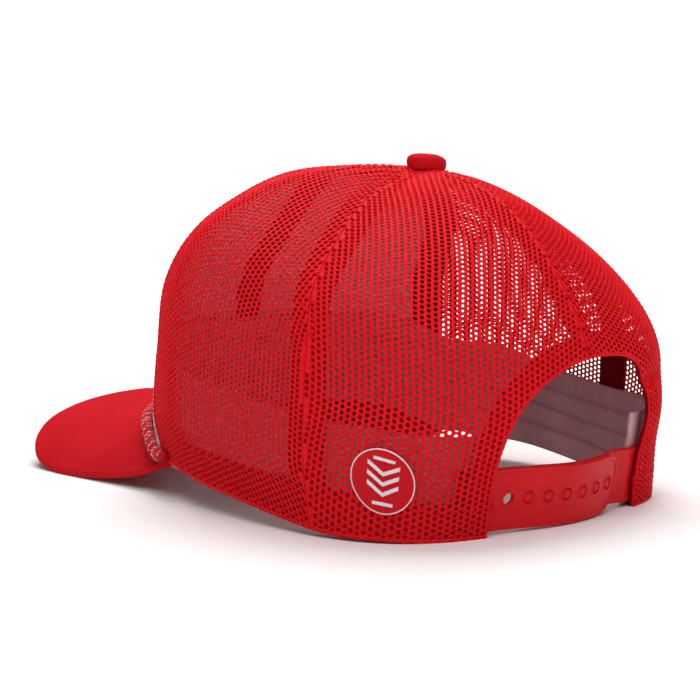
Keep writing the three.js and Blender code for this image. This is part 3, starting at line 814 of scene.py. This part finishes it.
def net_panel(name, first, last, hand, node, has_arch=False):
    """Panel of net: staggered columns of cells, each with a rounded hole of eight sides. A cell's border lies on
    the outer face, knots stand proud between the holes of a column, and the strands sink towards the hole's
    edge at half the depth. Cells that a border cuts are closed."""
    chart = net_chart(first, last)
    _, up, left, right, _ = chart
    half = int(max(-left.min(), right.max()) / NET_COLUMN) + 2
    rows = int(up[-1] / NET_PITCH) + 2
    columns = np.arange(-half, half + 1)
    line_k = np.arange(-2, 2 * rows + 4)
    lines = np.stack(np.meshgrid((np.arange(-half, half + 2) - 0.5) * NET_COLUMN,
                                 line_k * NET_PITCH / 2, indexing="ij"), -1)
    stagger = np.abs(columns) % 2
    knots_v = (np.arange(-1, rows + 2)[None] + 0.5 * stagger[:, None]) * NET_PITCH
    knots = np.stack([np.broadcast_to((columns * NET_COLUMN)[:, None], knots_v.shape), knots_v], -1)
    line_count = lines.shape[0] * lines.shape[1]
    line_index = np.arange(line_count).reshape(lines.shape[:2])
    knot_index = line_count + np.arange(knots.shape[0] * knots.shape[1]).reshape(knots.shape[:2])
    c, r = np.meshgrid(np.arange(len(columns)), np.arange(rows + 1), indexing="ij")
    c = c.ravel()
    r = r.ravel()
    k0 = 2 * r + stagger[c]
    border = np.stack([
        knot_index[c, r], line_index[c + 1, k0], line_index[c + 1, k0 + 1], line_index[c + 1, k0 + 2],
        knot_index[c, r + 1], line_index[c, k0 + 2], line_index[c, k0 + 1], line_index[c, k0],
    ], -1)
    sheet = np.vstack([lines.reshape(-1, 2), knots.reshape(-1, 2)])
    _, _, sheet_inside = net_place(chart, sheet, has_arch, hand)
    centre = (sheet[border[:, 0]] + sheet[border[:, 4]]) / 2
    _, _, centre_inside = net_place(chart, centre, has_arch, hand)
    kept = (sheet_inside[border] > 0).any(axis=1)
    border = border[kept]
    centre = centre[kept]
    open_cell = centre_inside[kept] > HOLE_HALF_WIDTH + HOLE_MARGIN
    turn8 = np.radians([-90, -45, 0, 45, 90, 135, 180, 225])
    ellipse = np.stack([HOLE_HALF_WIDTH * np.cos(turn8), HOLE_HALF_HEIGHT * np.sin(turn8)], -1)
    wide = (centre[open_cell][:, None] + ellipse * 1.3).reshape(-1, 2)
    tight = (centre[open_cell][:, None] + ellipse).reshape(-1, 2)
    shut = centre[~open_cell]
    cloth = np.vstack([sheet, sheet, wide, tight, shut, shut])
    n = len(sheet)
    is_knot = np.arange(n) >= line_count
    depth = np.concatenate([
        np.where(is_knot, -KNOT_RAISE, 0.0),
        np.full(n, NET_THICK),
        np.full(len(wide), STRAND_SINK),
        np.full(len(tight), NET_THICK / 2),
        np.full(len(shut), 0.0),
        np.full(len(shut), NET_THICK),
    ])
    turn, share, _ = net_place(chart, cloth, has_arch, hand)
    points = crown_point(turn, share, depth, hand)
    first_wide = 2 * n
    first_tight = first_wide + len(wide)
    first_shut = first_tight + len(tight)
    around = border[open_cell]
    ring = np.arange(len(around) * 8).reshape(-1, 8)
    ahead = np.roll(np.arange(8), -1)
    loop_wide = first_wide + ring
    loop_tight = first_tight + ring
    quads = np.vstack([
        ring_quads(around, loop_wide),
        ring_quads(loop_wide, loop_tight),
        ring_quads(loop_tight, around + n),
    ])
    closed = border[~open_cell]
    middle = np.repeat((first_shut + np.arange(len(closed)))[:, None], 8, axis=1)
    under = middle + len(shut)
    fans = np.vstack([
        np.stack([closed, closed[:, ahead], middle], -1).reshape(-1, 3),
        np.stack([closed[:, ahead] + n, closed + n, under], -1).reshape(-1, 3),
    ])
    walls = border_walls(edges_of(border), n)
    faces = [np.vstack([quads, walls]), fans]
    used = np.unique(np.concatenate([f.ravel() for f in faces]))
    new_index = np.full(len(points), -1)
    new_index[used] = np.arange(len(used))
    faces = [new_index[f] for f in faces]
    return make_piece(name, points[used], faces, NET_YARN, [node], uv=cloth[used], weld=True)


# Plain cloth parts of the crown


def cloth_wall(shares, first, last, columns, depth, thick, hand):
    """Wall of cloth: a grid of even turns between two limits at each share, at a depth, with its twin a
    thickness deeper."""
    part = np.linspace(0, 1, columns)[None]
    first = np.broadcast_to(first, shares.shape)[:, None]
    last = np.broadcast_to(last, shares.shape)[:, None]
    turn = first + (last - first) * part
    share = np.broadcast_to(shares[:, None], turn.shape)
    outer = crown_point(turn, share, depth, hand)
    inner = crown_point(turn, share, depth + thick, hand)
    return outer, inner


def front_panel(name, hand, node):
    """Front panel of plain cloth from the middle seam to the side panel's."""
    shares = np.linspace(0, TOP_SHARE, 96)
    first = turn_of(GAP / 2, np.zeros_like(shares), shares)
    border = seam_at(FRONT_SEAM, shares)
    last = border - turn_of(GAP / 2, border, shares)
    wall_piece(name, cloth_wall(shares, first, last, 72, 0.0, FRONT_THICK, hand), FRONT_CLOTH, [node])


def seam_strip(seam, low, high, width, depth, thick, hand, rows=90, columns=9):
    """Strip that follows a seam between two shares, half its width to each side."""
    shares = np.linspace(low, high, rows)
    middle = seam_at(seam, shares)
    half = turn_of(width / 2, middle, shares)
    return cloth_wall(shares, middle - half, middle + half, columns, depth, thick, hand)


def seam_tape(name, seam, low, depth, hand, node):
    """Tape over the inside of a seam."""
    wall_piece(name, seam_strip(seam, low, 0.9, TAPE_WIDTH, depth, TAPE_THICK, hand), DARK_TAPE_WITH_PAINTED_SHADE, [node])


def turned_edge(name, seam, low, hand, width=15.0):
    """Turned-in edges of two net panels behind their seam."""
    wall_piece(name, seam_strip(seam, low, 0.93, width, NET_THICK + TURNED_GAP, TURNED_THICK, hand), SHADED_UNDER_NET)


def arch_strip(low, high, depth, thick, count=150, levels=6):
    """Strip round the opening between two margins from its edge."""
    grids = []
    for extra in (0, thick):
        lines = []
        for margin in np.linspace(low, high, levels):
            x, height = arch_line(margin, count)
            lines.append(back_point(x, height, depth + extra))
        grids.append(np.stack(lines, 1))
    return grids


def arch_parts():
    """Binding on the inside of the opening's edge, the turned net between it and the panels, and the rolled
    edge, which is a tube along the opening's outline."""
    binding = arch_strip(0.0, BINDING_WIDTH, TAPE_DEPTH, TAPE_THICK)
    wall_piece("opening_binding", binding, DARK_TAPE_WITH_PAINTED_SHADE, ["arch_binding"])
    turned = arch_strip(0.2, BINDING_WIDTH + 0.7, NET_THICK + TURNED_GAP, TURNED_THICK)
    wall_piece("opening_turned_net", turned, SHADED_UNDER_NET)
    x, height = arch_line(0.35, 240)
    path = back_point(x, np.maximum(height, 0.9), 0.8)
    rings = tube_along(path, 0.7, 10, up=(0, 1, 0.01))
    rings[..., 2] = np.maximum(rings[..., 2], 0.0)
    uv = tube_uv(240, 10, 0.8, 0.6)
    make_piece("opening_edge", rings.reshape(-1, 3), tube_faces(240, 10), NET_YARN, uv=uv)


def rim_turns(share, count):
    """Turns along the net's rim at each share, from the front seam to the opening's side."""
    end = float(back_turn(ARCH_HALF_WIDTH, 0.0))
    return np.linspace(seam_at(FRONT_SEAM, share), end, count)


def rim_parts():
    """Turned net behind the rim, and the rolled rim itself, on each side."""
    for hand, side in ((1, "left"), (-1, "right")):
        levels = np.linspace(0, 0.075, 6)
        turn = rim_turns(levels, 150)
        depths = NET_THICK + 0.1, NET_THICK + 0.1 + TURNED_THICK
        grids = [crown_point(turn, levels[None] + 0.0005, depth, hand) for depth in depths]
        wall_piece(f"rim_turned_net_{side}", grids, SHADED_UNDER_NET)
        turn = rim_turns(0.0, 150)
        path = crown_point(turn, np.zeros_like(turn), 0.6, hand)
        path[:, 2] = crown_face(turn, 0.0)[:, 2] + 0.75
        rings = tube_along(path, 0.75, 8)
        uv = tube_uv(150, 8, 1.1, 0.6)
        make_piece(f"rim_edge_{side}", rings.reshape(-1, 3), tube_faces(150, 8), NET_YARN, uv=uv)


def band_depth(turn):
    """Depth of the sweatband: it steps inwards where the strap's tail lies behind it."""
    tail = back_turn(ARCH_HALF_WIDTH + STRAP_TAIL, 0.0)
    return mix(BAND_DEPTH, BAND_STRAP_DEPTH, ease((turn - (tail - BAND_LEAD - BAND_STEP)) / BAND_STEP))


def share_above_rim(turn, height):
    """Share that lies a height above the rim at each turn, by halving."""
    foot = crown_face(turn, 0.0)[..., 2]
    low = np.zeros(np.shape(turn))
    high = np.full(np.shape(turn), 0.6)
    for _ in range(30):
        middle = (low + high) / 2
        short = crown_face(turn, middle)[..., 2] - foot < height
        low = np.where(short, middle, low)
        high = np.where(short, high, middle)
    return (low + high) / 2


def band_rise(turn, hand):
    """Millimetres that the band's upper edge lies above its plain height. On the wearer's left it is drawn up along
    the side and falls off towards the opening; on the right it dips past the side seam and rises again."""
    left = BAND_RAISE * (1.25 * (1 - ease((turn - 112) / 45)) + 0.75)
    right = BAND_RAISE * (2.2 - 1.1 * ease((turn - 82) / 16) + 0.4 * bump(turn - 122, 14))
    return np.where(hand > 0, left + 0.2 * BAND_RAISE * (1 - ease((turn - 80) / 20)), right)


def sweatband():
    """Band round the inside of the rim: four puffed channels between three stitched grooves, and a slight wave
    along it. Its outer face fills the room up to the net, less beside the side seams' tapes, and it hangs over
    the root of the visor in front."""
    count, levels = 420, 41
    end = float(back_turn(ARCH_HALF_WIDTH, 0.0))
    signed = np.linspace(-end, end, count)[:, None]
    turn = np.abs(signed)
    hand = np.where(signed < 0, -1, 1)
    level = np.linspace(0, 1, levels)[None]
    foot = crown_face(turn, 0.0)[..., 2]
    hang = BAND_HANG * (1 - ease((turn - 78) / 12)) * (1 - level) ** 2
    height = level * BAND_HEIGHT + band_rise(turn, hand) * level
    share = share_above_rim(np.broadcast_to(turn, (count, levels)), height)
    groove = sum(bump(level * BAND_HEIGHT - line, 1.3) for line in BAND_LINES)
    puff = 0.55 * np.abs(np.sin(np.pi * level * BAND_HEIGHT / BAND_CHANNEL)) ** 0.6 - 0.5 * groove
    wave = 0.25 * np.sin(signed / 3.1) * level
    tape = bump(turn - SIDE_SEAM, 8) + (1 - ease((turn - FRONT_SEAM - 4) / 8))
    tail = ease((band_depth(turn) - BAND_DEPTH) / (BAND_STRAP_DEPTH - BAND_DEPTH) * 4)
    spare = (BAND_DEPTH - NET_THICK - 0.75) * (1 - np.clip(tape + tail, 0, 1))
    grids = []
    for extra, lift in ((0.0, -spare * np.clip(8 * level, 0, 1)), (BAND_THICK, puff + wave)):
        grid = crown_point(turn, share, band_depth(turn) + extra + lift, 1)
        grid[..., 0] *= hand
        grid[..., 2] = np.maximum(grid[..., 2], foot + height * BAND_LEAN + 0.3) - hang
        grids.append(grid)
    points, faces = wall_between(*grids)
    uv = grid_uv(grids[0].transpose(1, 0, 2))
    flat = uv[: len(uv) // 2].reshape(levels, count, 2).transpose(1, 0, 2).reshape(-1, 2)
    make_piece("sweatband_cloth", points, faces, BAND_CLOTH_WITH_RED_BOUNCE, ["sweatband"], uv=np.vstack([flat, flat]))
    rows = []
    for line in BAND_LINES:
        share_line = share_above_rim(turn[:, 0], line + band_rise(turn, hand)[:, 0] * line / BAND_HEIGHT)
        depth = band_depth(turn[:, 0]) + BAND_THICK + 0.02
        path, deeper = (crown_point(turn[:, 0], share_line, depth + extra, 1) for extra in (0, 1))
        path[:, 0] *= hand[:, 0]
        deeper[:, 0] *= hand[:, 0]
        rows.append(stitch_row(path, deeper - path, spacing=3.0, length=2.2, width=0.45, height=0.3))
    stitch_piece("sweatband_stitches", rows, BAND_THREAD_WITH_RED_BOUNCE)


# Visor, cord, button and badge


def visor_frame(count):
    """Root and free edge of the visor at even stations from one rear corner to the other."""
    t = np.linspace(-1, 1, count)
    near = 1 - np.abs(t)
    sign = np.where(t < 0, -1, 1)
    corner = crown_face(FRONT_SEAM, 0.0)
    reach = FRONT_REACH * RINGS[0, 0] + VISOR_LENGTH + corner[1]
    wide, out, rise = through(VISOR_EDGE, near**EDGE_SPREAD * (len(VISOR_EDGE) - 2)).T
    rise = rise - CORNER_DROOP / VISOR_RISE * bump(out - 0.8, 0.12) * (sign < 0)
    edge = np.stack([
        sign * wide * (corner[0] + VISOR_FLARE),
        corner[1] - VISOR_CORNER - out * reach,
        np.maximum(rise * VISOR_RISE, 0),
    ], -1)
    turn = FRONT_SEAM * (1 - near**ROOT_SPREAD)
    root = plain_point(turn, np.zeros_like(turn), BAND_DEPTH - GAP)
    root[:, 2] = crown_face(turn, 0.0)[:, 2] - GAP - VISOR_THICK
    root[:, 0] *= sign
    return root, edge


def visor():
    """Visor: sections from the root to the free edge and back below, the edge rounded as a half circle of the
    board's thickness with a fine seam along its middle."""
    count = 220
    root, edge = visor_frame(count)
    along = unit(edge - root)
    start = edge - along * VISOR_THICK / 2
    flat = np.linspace(0, 1, 34)[None, :, None]
    under = root[:, None] * (1 - flat) + start[:, None] * flat
    top = under[:, ::-1] + [0, 0, VISOR_THICK]
    turn = np.linspace(-np.pi / 2, np.pi / 2, 11)[1:-1]
    seam = 1 - 0.16 * bump(turn, 0.16)
    rounding = start[:, None] + [0, 0, VISOR_THICK / 2]
    rounding = rounding + along[:, None] * (np.cos(turn) * seam * VISOR_THICK / 2)[None, :, None]
    rounding[..., 2] += np.sin(turn)[None] * VISOR_THICK / 2
    section = np.concatenate([under, rounding, top], axis=1)
    section[..., 2] = np.maximum(section[..., 2], 0)
    sides = section.shape[1]
    points = section.reshape(-1, 3)
    plan = points[:, :2]
    make_piece("visor_cloth_cover", points, tube_faces(count, sides), VISOR_CLOTH, ["visor"], uv=plan)


def rope_path(count):
    """Middle line of the cord in the corner between the crown and the visor, a little past the front seams."""
    end = FRONT_SEAM + ROPE_LEAD
    signed = np.linspace(-end, end, count)
    turn = np.abs(signed)
    path = plain_point(turn, np.zeros_like(turn), -ROPE_RADIUS - GAP)
    path[:, 2] = crown_face(turn, 0.0)[:, 2] + ROPE_RADIUS
    path[:, 0] *= np.where(signed < 0, -1, 1)
    return path


def rope():
    """Braided cord: the radius follows the product of two crossed helices, which makes plaits, and small white
    flecks lie in groups where the helices cross."""
    fine = rope_path(900)
    steps = even_steps(fine, BRAID_STEP)
    path = at_steps(fine, steps)
    sides = 18
    run = np.arange(len(path)) * BRAID_STEP
    turn = np.linspace(0, 2 * np.pi, sides, endpoint=False)
    right = turn[None] * 4 + run[:, None] * BRAID_TWIST
    left = turn[None] * 4 - run[:, None] * BRAID_TWIST
    plait = np.sin(right / 2) * np.sin(left / 2)
    radius = ROPE_RADIUS * (0.93 + 0.1 * np.abs(plait) ** 0.7)
    rings = tube_along(path, radius, sides)
    first = (right / (2 * np.pi)) % 1 - 0.5
    second = (left / (2 * np.pi)) % 1 - 0.5
    group = (run[:, None] / FLECK_GROUP + turn[None] / np.pi) % 1 < 0.5
    inner = ((run > BARE_END) & (run < run[-1] - BARE_END))[:, None]
    white = (np.abs(first) < FLECK_HALF) & (np.abs(second) < FLECK_HALF) & group & inner
    tint = two_tints(white, CORD_RED, CORD_WHITE)
    faces = tube_faces(len(path), sides)
    make_piece("cord_braid", rings.reshape(-1, 3), faces, BRAID_YARN, ["rope"], tint=tint)


def lathe_grid(profile, count):
    """Points of a profile (radius, height) turned round the upright axis."""
    turn = np.linspace(0, 2 * np.pi, count, endpoint=False)
    radius, height = profile[:, 0][:, None], profile[:, 1][:, None]
    x = radius * np.cos(turn)[None]
    y = radius * np.sin(turn)[None]
    return np.stack([x, y, np.broadcast_to(height, x.shape)], -1), turn


def button():
    """Covered button: a dome whose cloth is drawn into soft folds below its widest ring and whose skirt hangs to
    the crown, as low as the crown falls away at that distance from its point. It leans a little backwards and
    to the wearer's right."""
    t = np.linspace(0, 1, 34)
    radius = BUTTON_RADIUS * np.clip(np.sin(np.pi * (0.32 + 0.68 * t)), 0, 1) ** 0.75
    radius[-1] = 0.02
    height = BUTTON_HEIGHT * np.sin(np.pi / 2 * t)
    grid, turn = lathe_grid(np.stack([radius, height], -1), 72)
    fold = 1 + 0.02 * np.cos(turn * 14)[None] * (1 - ease(t * 2.2))[:, None]
    grid[..., :2] *= fold[..., None]
    grid[..., 2] -= SKIRT_DROP * (1 - ease(t * 2.5))[:, None]
    grid[..., 2] -= BUTTON_LEAN * (grid[..., 1] - grid[..., 0])
    grid = grid + [0, APEX_BACK, CROWN_HEIGHT + GAP]
    uv = grid[..., :2].reshape(-1, 2)
    make_piece("top_button", grid.reshape(-1, 3), tube_faces(34, 72), VISOR_CLOTH, ["button"], uv=uv)


def badge_marks(x, y):
    """Where the badge's white thread lies: a ring at its edge, three chevrons and a bar above and below them.
    Returns where it is white and where the ring lies."""
    radius = np.hypot(x, y)
    ring = radius > BADGE_RING
    white = ring.copy()
    for k in (-1, 0, 1):
        rise = y - (k * 3.4 - 1.2) - np.abs(x) * 0.62
        white |= (np.abs(rise) < 0.72) & (np.abs(x) < 5.4)
    for level in (7.3, -7.6):
        white |= (np.abs(y - level) < 0.55) & (np.abs(x) < 3.6)
    return white, ring


def badge():
    """Embroidered badge: a disc on the crown whose white satin stitches stand above a red ground, as ridges that
    run across each mark."""
    count, rings_count = 220, 64
    radius = np.linspace(0.02, 1, rings_count) * BADGE_RADIUS
    turn = np.linspace(0, 2 * np.pi, count, endpoint=False)
    x = radius[:, None] * np.cos(turn)[None]
    y = radius[:, None] * np.sin(turn)[None]
    white, ring = badge_marks(x, y)
    satin = np.where(ring, np.cos(turn * 100)[None], np.cos(x * 2 * np.pi / 0.55))
    ground = np.cos((x + y) * 2 * np.pi / 0.6)
    height = np.where(white, 0.55 + 0.1 * satin, 0.12 + 0.05 * ground)
    height = height * (1 - 0.75 * bump(radius[:, None] - BADGE_RADIUS, 0.35))
    around, up = crown_slopes(np.array(BADGE_ANGLE), np.array(BADGE_SHARE))
    place_turn = BADGE_ANGLE + x / np.linalg.norm(around)
    place_share = BADGE_SHARE + y / np.linalg.norm(up)
    top = crown_point(place_turn, place_share, -0.45 - height)
    foot = crown_point(place_turn, place_share, -0.2)
    points = np.vstack([top.reshape(-1, 3), foot.reshape(-1, 3)])
    quads, _ = tube_faces(rings_count, count)
    size = rings_count * count
    rim = (rings_count - 1) * count + np.arange(count)[None]
    walls = ring_quads(rim, rim + size)
    hub = np.arange(count)
    faces = [np.vstack([quads, quads[:, ::-1] + size, walls]), np.array([hub[::-1]]), np.array([hub + size])]
    tint = two_tints(white, BADGE_RED, BADGE_WHITE)
    make_piece("back_badge", points, faces, BADGE_YARN, ["badge"], tint=np.vstack([tint, tint]))


# Strap


def strap_point(x, height, depth):
    """Outer face of the strap: the back's own curve, drawn in between the legs and let out in the middle."""
    bulge = STRAP_BULGE + STRAP_DEPTH
    inset = STRAP_DEPTH - bulge * (1 - ease(np.abs(x) / (ARCH_HALF_WIDTH - STRAP_INSET)))
    share = back_share(height)
    point = plain_point(back_turn(x, share), share, inset + depth)
    point[..., 0] *= np.sign(x)
    return point


def snap_places():
    """Distances of the snaps from the middle plane."""
    return FIRST_SNAP - np.arange(SNAP_COUNT) * SNAP_PITCH


def strap_outline(x, end, height):
    """Half height of a strap along it: full, then closing as a superellipse at its free end."""
    left = np.maximum(height / 2 - np.abs(end - x), 0) / (height / 2)
    return (height / 2) * np.sqrt(np.maximum(1 - left**2.5, 0.06))


def strap_grid(tail, end, height, along, across):
    """Distances along and across a strap from its tail to its free end, and its half height at each station."""
    x = np.linspace(tail, end, along)[:, None]
    half = strap_outline(x, end, height)
    y = half * np.linspace(-1, 1, across)[None]
    return np.broadcast_to(x, y.shape).copy(), y, half


def strap_relief(x, y, half, end):
    """Height of the strap's face: a bead along its edge, a frame with round ends about the row of snaps, a collar
    round each snap, and a round slot between the collar and the post in it."""
    edge = half - np.abs(y)
    tip = np.abs(x - end)
    relief = 0.5 * (1 - ease((np.minimum(edge, tip) - 0.9) / 0.7))
    low, high = snap_places()[-1] + 1.2, FIRST_SNAP + 2.2
    inner_x = np.maximum(np.maximum(low - x, x - high), 0)
    frame_distance = np.hypot(inner_x, y) - SNAP_FRAME
    relief = relief + 0.3 * bump(frame_distance, 0.5) - 0.12 * (1 - ease(frame_distance / 0.6 + 0.5))
    for place in snap_places():
        radius = np.hypot(x - place, y)
        relief = relief + 0.3 * bump(radius - SNAP_RADIUS - 0.45, 0.4)
        slot = (radius < SNAP_RADIUS + 0.05) & (radius > POST_RADIUS)
        post = radius < POST_RADIUS
        dome = 0.25 * np.sqrt(np.maximum(1 - (radius / POST_RADIUS) ** 2, 0))
        relief = np.where(slot, -1.1, relief)
        relief = np.where(post & (place != FIRST_SNAP), -0.1 + dome, relief)
    return relief


def strap_outer():
    """Half of the strap with the holes: its face is a height field, and the first hole is cut through."""
    tail = ARCH_HALF_WIDTH + STRAP_TAIL
    along, across = 216, 66
    x, y, half = strap_grid(tail, -STRAP_END, STRAP_HEIGHT, along, across)
    from_hole = np.hypot(x - FIRST_SNAP, y)
    near = (from_hole > SNAP_RADIUS - 0.3) & (from_hole < SNAP_RADIUS + 0.2)
    pull = np.where(near, SNAP_RADIUS / np.maximum(from_hole, 1e-6), 1)
    x = FIRST_SNAP + (x - FIRST_SNAP) * pull
    y = y * pull
    relief = strap_relief(x, y, half, -STRAP_END)
    relief = np.where(np.hypot(x - FIRST_SNAP, y) < SNAP_RADIUS + 0.01, 0.2, relief)
    outer = strap_point(x, STRAP_MIDDLE + y, -relief)
    inner = strap_point(x, STRAP_MIDDLE + y, np.full_like(y, STRAP_THICK))
    faces = grid_quads(along, across)
    flat_x, flat_y = x.ravel(), y.ravel()
    centre = np.hypot(flat_x[faces].mean(1) - FIRST_SNAP, flat_y[faces].mean(1))
    faces = faces[centre > SNAP_RADIUS - 0.08]
    points, faces = wall_between(outer, inner, faces)
    make_piece("strap_with_holes", points, faces, STRAP_PLASTIC, ["strap_outer"])


def strap_inner():
    """Half of the strap behind, whose posts fill the holes but the first."""
    tail = -(ARCH_HALF_WIDTH + STRAP_TAIL)
    end = FIRST_SNAP - SNAP_PITCH / 2 - GAP
    x, y, half = strap_grid(tail, end, INNER_STRAP_HEIGHT, 160, 40)
    behind = (STRAP_THICK + GAP) * ease((x + STRAP_END + STRAP_STEP) / (STRAP_STEP - STRAP_INSET))
    edge = half - np.abs(y)
    relief = 0.4 * (1 - ease((edge - 0.8) / 0.6))
    outer = strap_point(x, STRAP_MIDDLE + y, behind - relief * (x < -STRAP_END))
    inner = strap_point(x, STRAP_MIDDLE + y, behind + STRAP_THICK)
    points, faces = wall_between(outer, inner)
    make_piece("strap_with_posts", points, faces, STRAP_PLASTIC, ["strap_inner"])


# Stitching of the crown


def stitches_on(turn, share, hand):
    """Row of stitches on the crown's face along a line of turns and shares."""
    path = crown_point(turn, share, -0.08, hand)
    return stitch_row(path, crown_point(turn, share, -1.08, hand) - path)


def seam_rows(seam, low, hand, offsets=(-STITCH_BESIDE, STITCH_BESIDE)):
    """Rows of stitches along a seam, at distances from it."""
    shares = np.linspace(low, STITCH_TOP, 160)
    middle = seam_at(seam, shares)
    return [stitches_on(middle + turn_of(side, middle, shares), shares, hand) for side in offsets]


def crown_stitches():
    """Red stitches beside the net's seams, round the opening and along the rim."""
    rows = []
    arch_top = float(back_share(ARCH_HEIGHT + 1.5))
    for hand in (1, -1):
        rows += seam_rows(SIDE_SEAM, 0.01, hand)
        rows += seam_rows(BACK_SEAM, arch_top, hand, (-STITCH_BESIDE,))
        rows += seam_rows(FRONT_SEAM, 0.02, hand, (STITCH_BESIDE,))
        rows += [stitches_on(rim_turns(level, 200), np.full(200, level), hand) for level in (0.016, 0.068)]
    x, height = arch_line(BINDING_WIDTH - 1.6, 400)
    height = np.maximum(height, 1.0)
    path = back_point(x, height, -0.08)
    rows.append(stitch_row(path, back_point(x, height, -1.08) - path))
    stitch_piece("crown_stitches", rows, RED_THREAD)


def front_stitches():
    """White stitches beside the front middle seam and above the cord."""
    rows = []
    for hand in (1, -1):
        rows += seam_rows(0.0, 0.02, hand, (STITCH_BESIDE,))
        turn = np.linspace(0.5, FRONT_SEAM - 3, 160)
        share = share_above_rim(turn, np.full(160, 5.2))
        turn = np.minimum(turn, seam_at(FRONT_SEAM, share) - 2)
        rows.append(stitches_on(turn, share, hand))
    stitch_piece("front_stitches", rows, WHITE_THREAD)


def dress_cap():
    """All pieces of the cap."""
    for hand, side in ((1, "left"), (-1, "right")):
        front_panel(f"front_cloth_{side}", hand, f"front_panel_{side}")
        net_panel(f"side_net_{side}", FRONT_SEAM, SIDE_SEAM, hand, f"side_panel_{side}")
        net_panel(f"back_net_{side}", SIDE_SEAM, BACK_SEAM, hand, f"back_panel_{side}", has_arch=True)
        seam_tape(f"front_tape_{side}", FRONT_SEAM, SEAM_FOOT, FRONT_TAPE_DEPTH, hand, f"tape_front_{side}")
        seam_tape(f"side_tape_{side}", SIDE_SEAM, SEAM_FOOT, TAPE_DEPTH, hand, f"tape_side_{side}")
        turned_edge(f"side_turned_edge_{side}", SIDE_SEAM, SEAM_FOOT, hand)
    arch_top = float(back_share(ARCH_HEIGHT + BINDING_WIDTH + GAP))
    seam_tape("middle_front_tape", 0.0, SEAM_FOOT, FRONT_TAPE_DEPTH, 1, "tape_front")
    seam_tape("middle_back_tape", BACK_SEAM, arch_top, TAPE_DEPTH, 1, "tape_back")
    turned_edge("back_turned_edge", BACK_SEAM, arch_top, 1)
    arch_parts()
    rim_parts()
    sweatband()
    visor()
    rope()
    button()
    badge()
    strap_outer()
    strap_inner()
    crown_stitches()
    front_stitches()


# Studio

CAMERA_PLACE = Vector((389.1, 413.7 + SHIFT, 106.9)) * MM
CAMERA_AIM = Vector((18.4, -4.9 + SHIFT, 56.5)) * MM
CAMERA_LENS = 72.9
SENSOR_WIDTH = 36.0
ROOM_LIGHT = 0.24
WALL_LIGHT = 0.95
FLOOR_REACH = 8.0


def aim(item, target):
    """Turn an object so that its -Z axis points at a target."""
    item.rotation_euler = (target - item.location).to_track_quat("-Z", "Y").to_euler()


def add_camera():
    """Camera at the photograph's place and angle."""
    data = bpy.data.cameras.new("photo_camera")
    data.sensor_width = SENSOR_WIDTH
    data.lens = CAMERA_LENS
    data.clip_start = 0.01
    item = add_object("photo_camera", data)
    item.location = CAMERA_PLACE
    aim(item, CAMERA_AIM)
    bpy.context.scene.camera = item


def add_softbox(name, place, size, watts, target=(0, 0, 0.05)):
    """Square area light."""
    data = bpy.data.lights.new(name, "AREA")
    data.shape = "SQUARE"
    data.size = size
    data.energy = watts
    item = add_object(name, data)
    item.location = place
    aim(item, Vector(target))


def add_studio():
    """Pale floor, even pale surroundings and two soft lights."""
    mesh = bpy.data.meshes.new("floor")
    corners = [(x * FLOOR_REACH, y * FLOOR_REACH, 0) for x, y in ((-1, -1), (1, -1), (1, 1), (-1, 1))]
    mesh.from_pydata(corners, [], [(0, 1, 2, 3)])
    floor = add_object("floor", mesh)
    material, tree, shader = new_finish("floor_paint", 0.9)
    patchy_colour(tree, shader, (0.94, 0.935, 0.935), (0.95, 0.945, 0.945), 1.0)
    place = add_node(tree, "ShaderNodeTexCoord")
    far = add_node(tree, "ShaderNodeVectorMath", operation="LENGTH")
    wire(tree, place.outputs["Object"], far.inputs[0])
    glow = add_node(tree, "ShaderNodeMapRange", interpolation_type="SMOOTHSTEP",
                    From_Min=0.15, From_Max=0.8, To_Max=0.8)
    wire(tree, far.outputs["Value"], glow.inputs[0])
    shader.inputs["Emission Color"].default_value = (1, 1, 1, 1)
    wire(tree, glow.outputs[0], shader.inputs["Emission Strength"])
    mesh.materials.append(material)
    world = bpy.data.worlds.new("studio")
    world.use_nodes = True
    sky = world.node_tree.nodes["Background"]
    sky.inputs[0].default_value = (1, 1, 1, 1)
    seen = world.node_tree.nodes.new("ShaderNodeLightPath").outputs["Is Camera Ray"]
    wire(world.node_tree, math_node(world.node_tree, "MULTIPLY_ADD", seen, WALL_LIGHT), sky.inputs[1])
    sky.inputs[1].links[0].from_node.inputs[2].default_value = ROOM_LIGHT
    bpy.context.scene.world = world
    add_softbox("far_overhead", (-0.3, -0.3, 1.15), 0.9, 13.5)
    add_softbox("near_overhead", (0.42, 0.5, 1.0), 0.8, 6.2)
    bpy.context.scene.view_settings.view_transform = "Standard"


dress_cap()
add_camera()
add_studio()
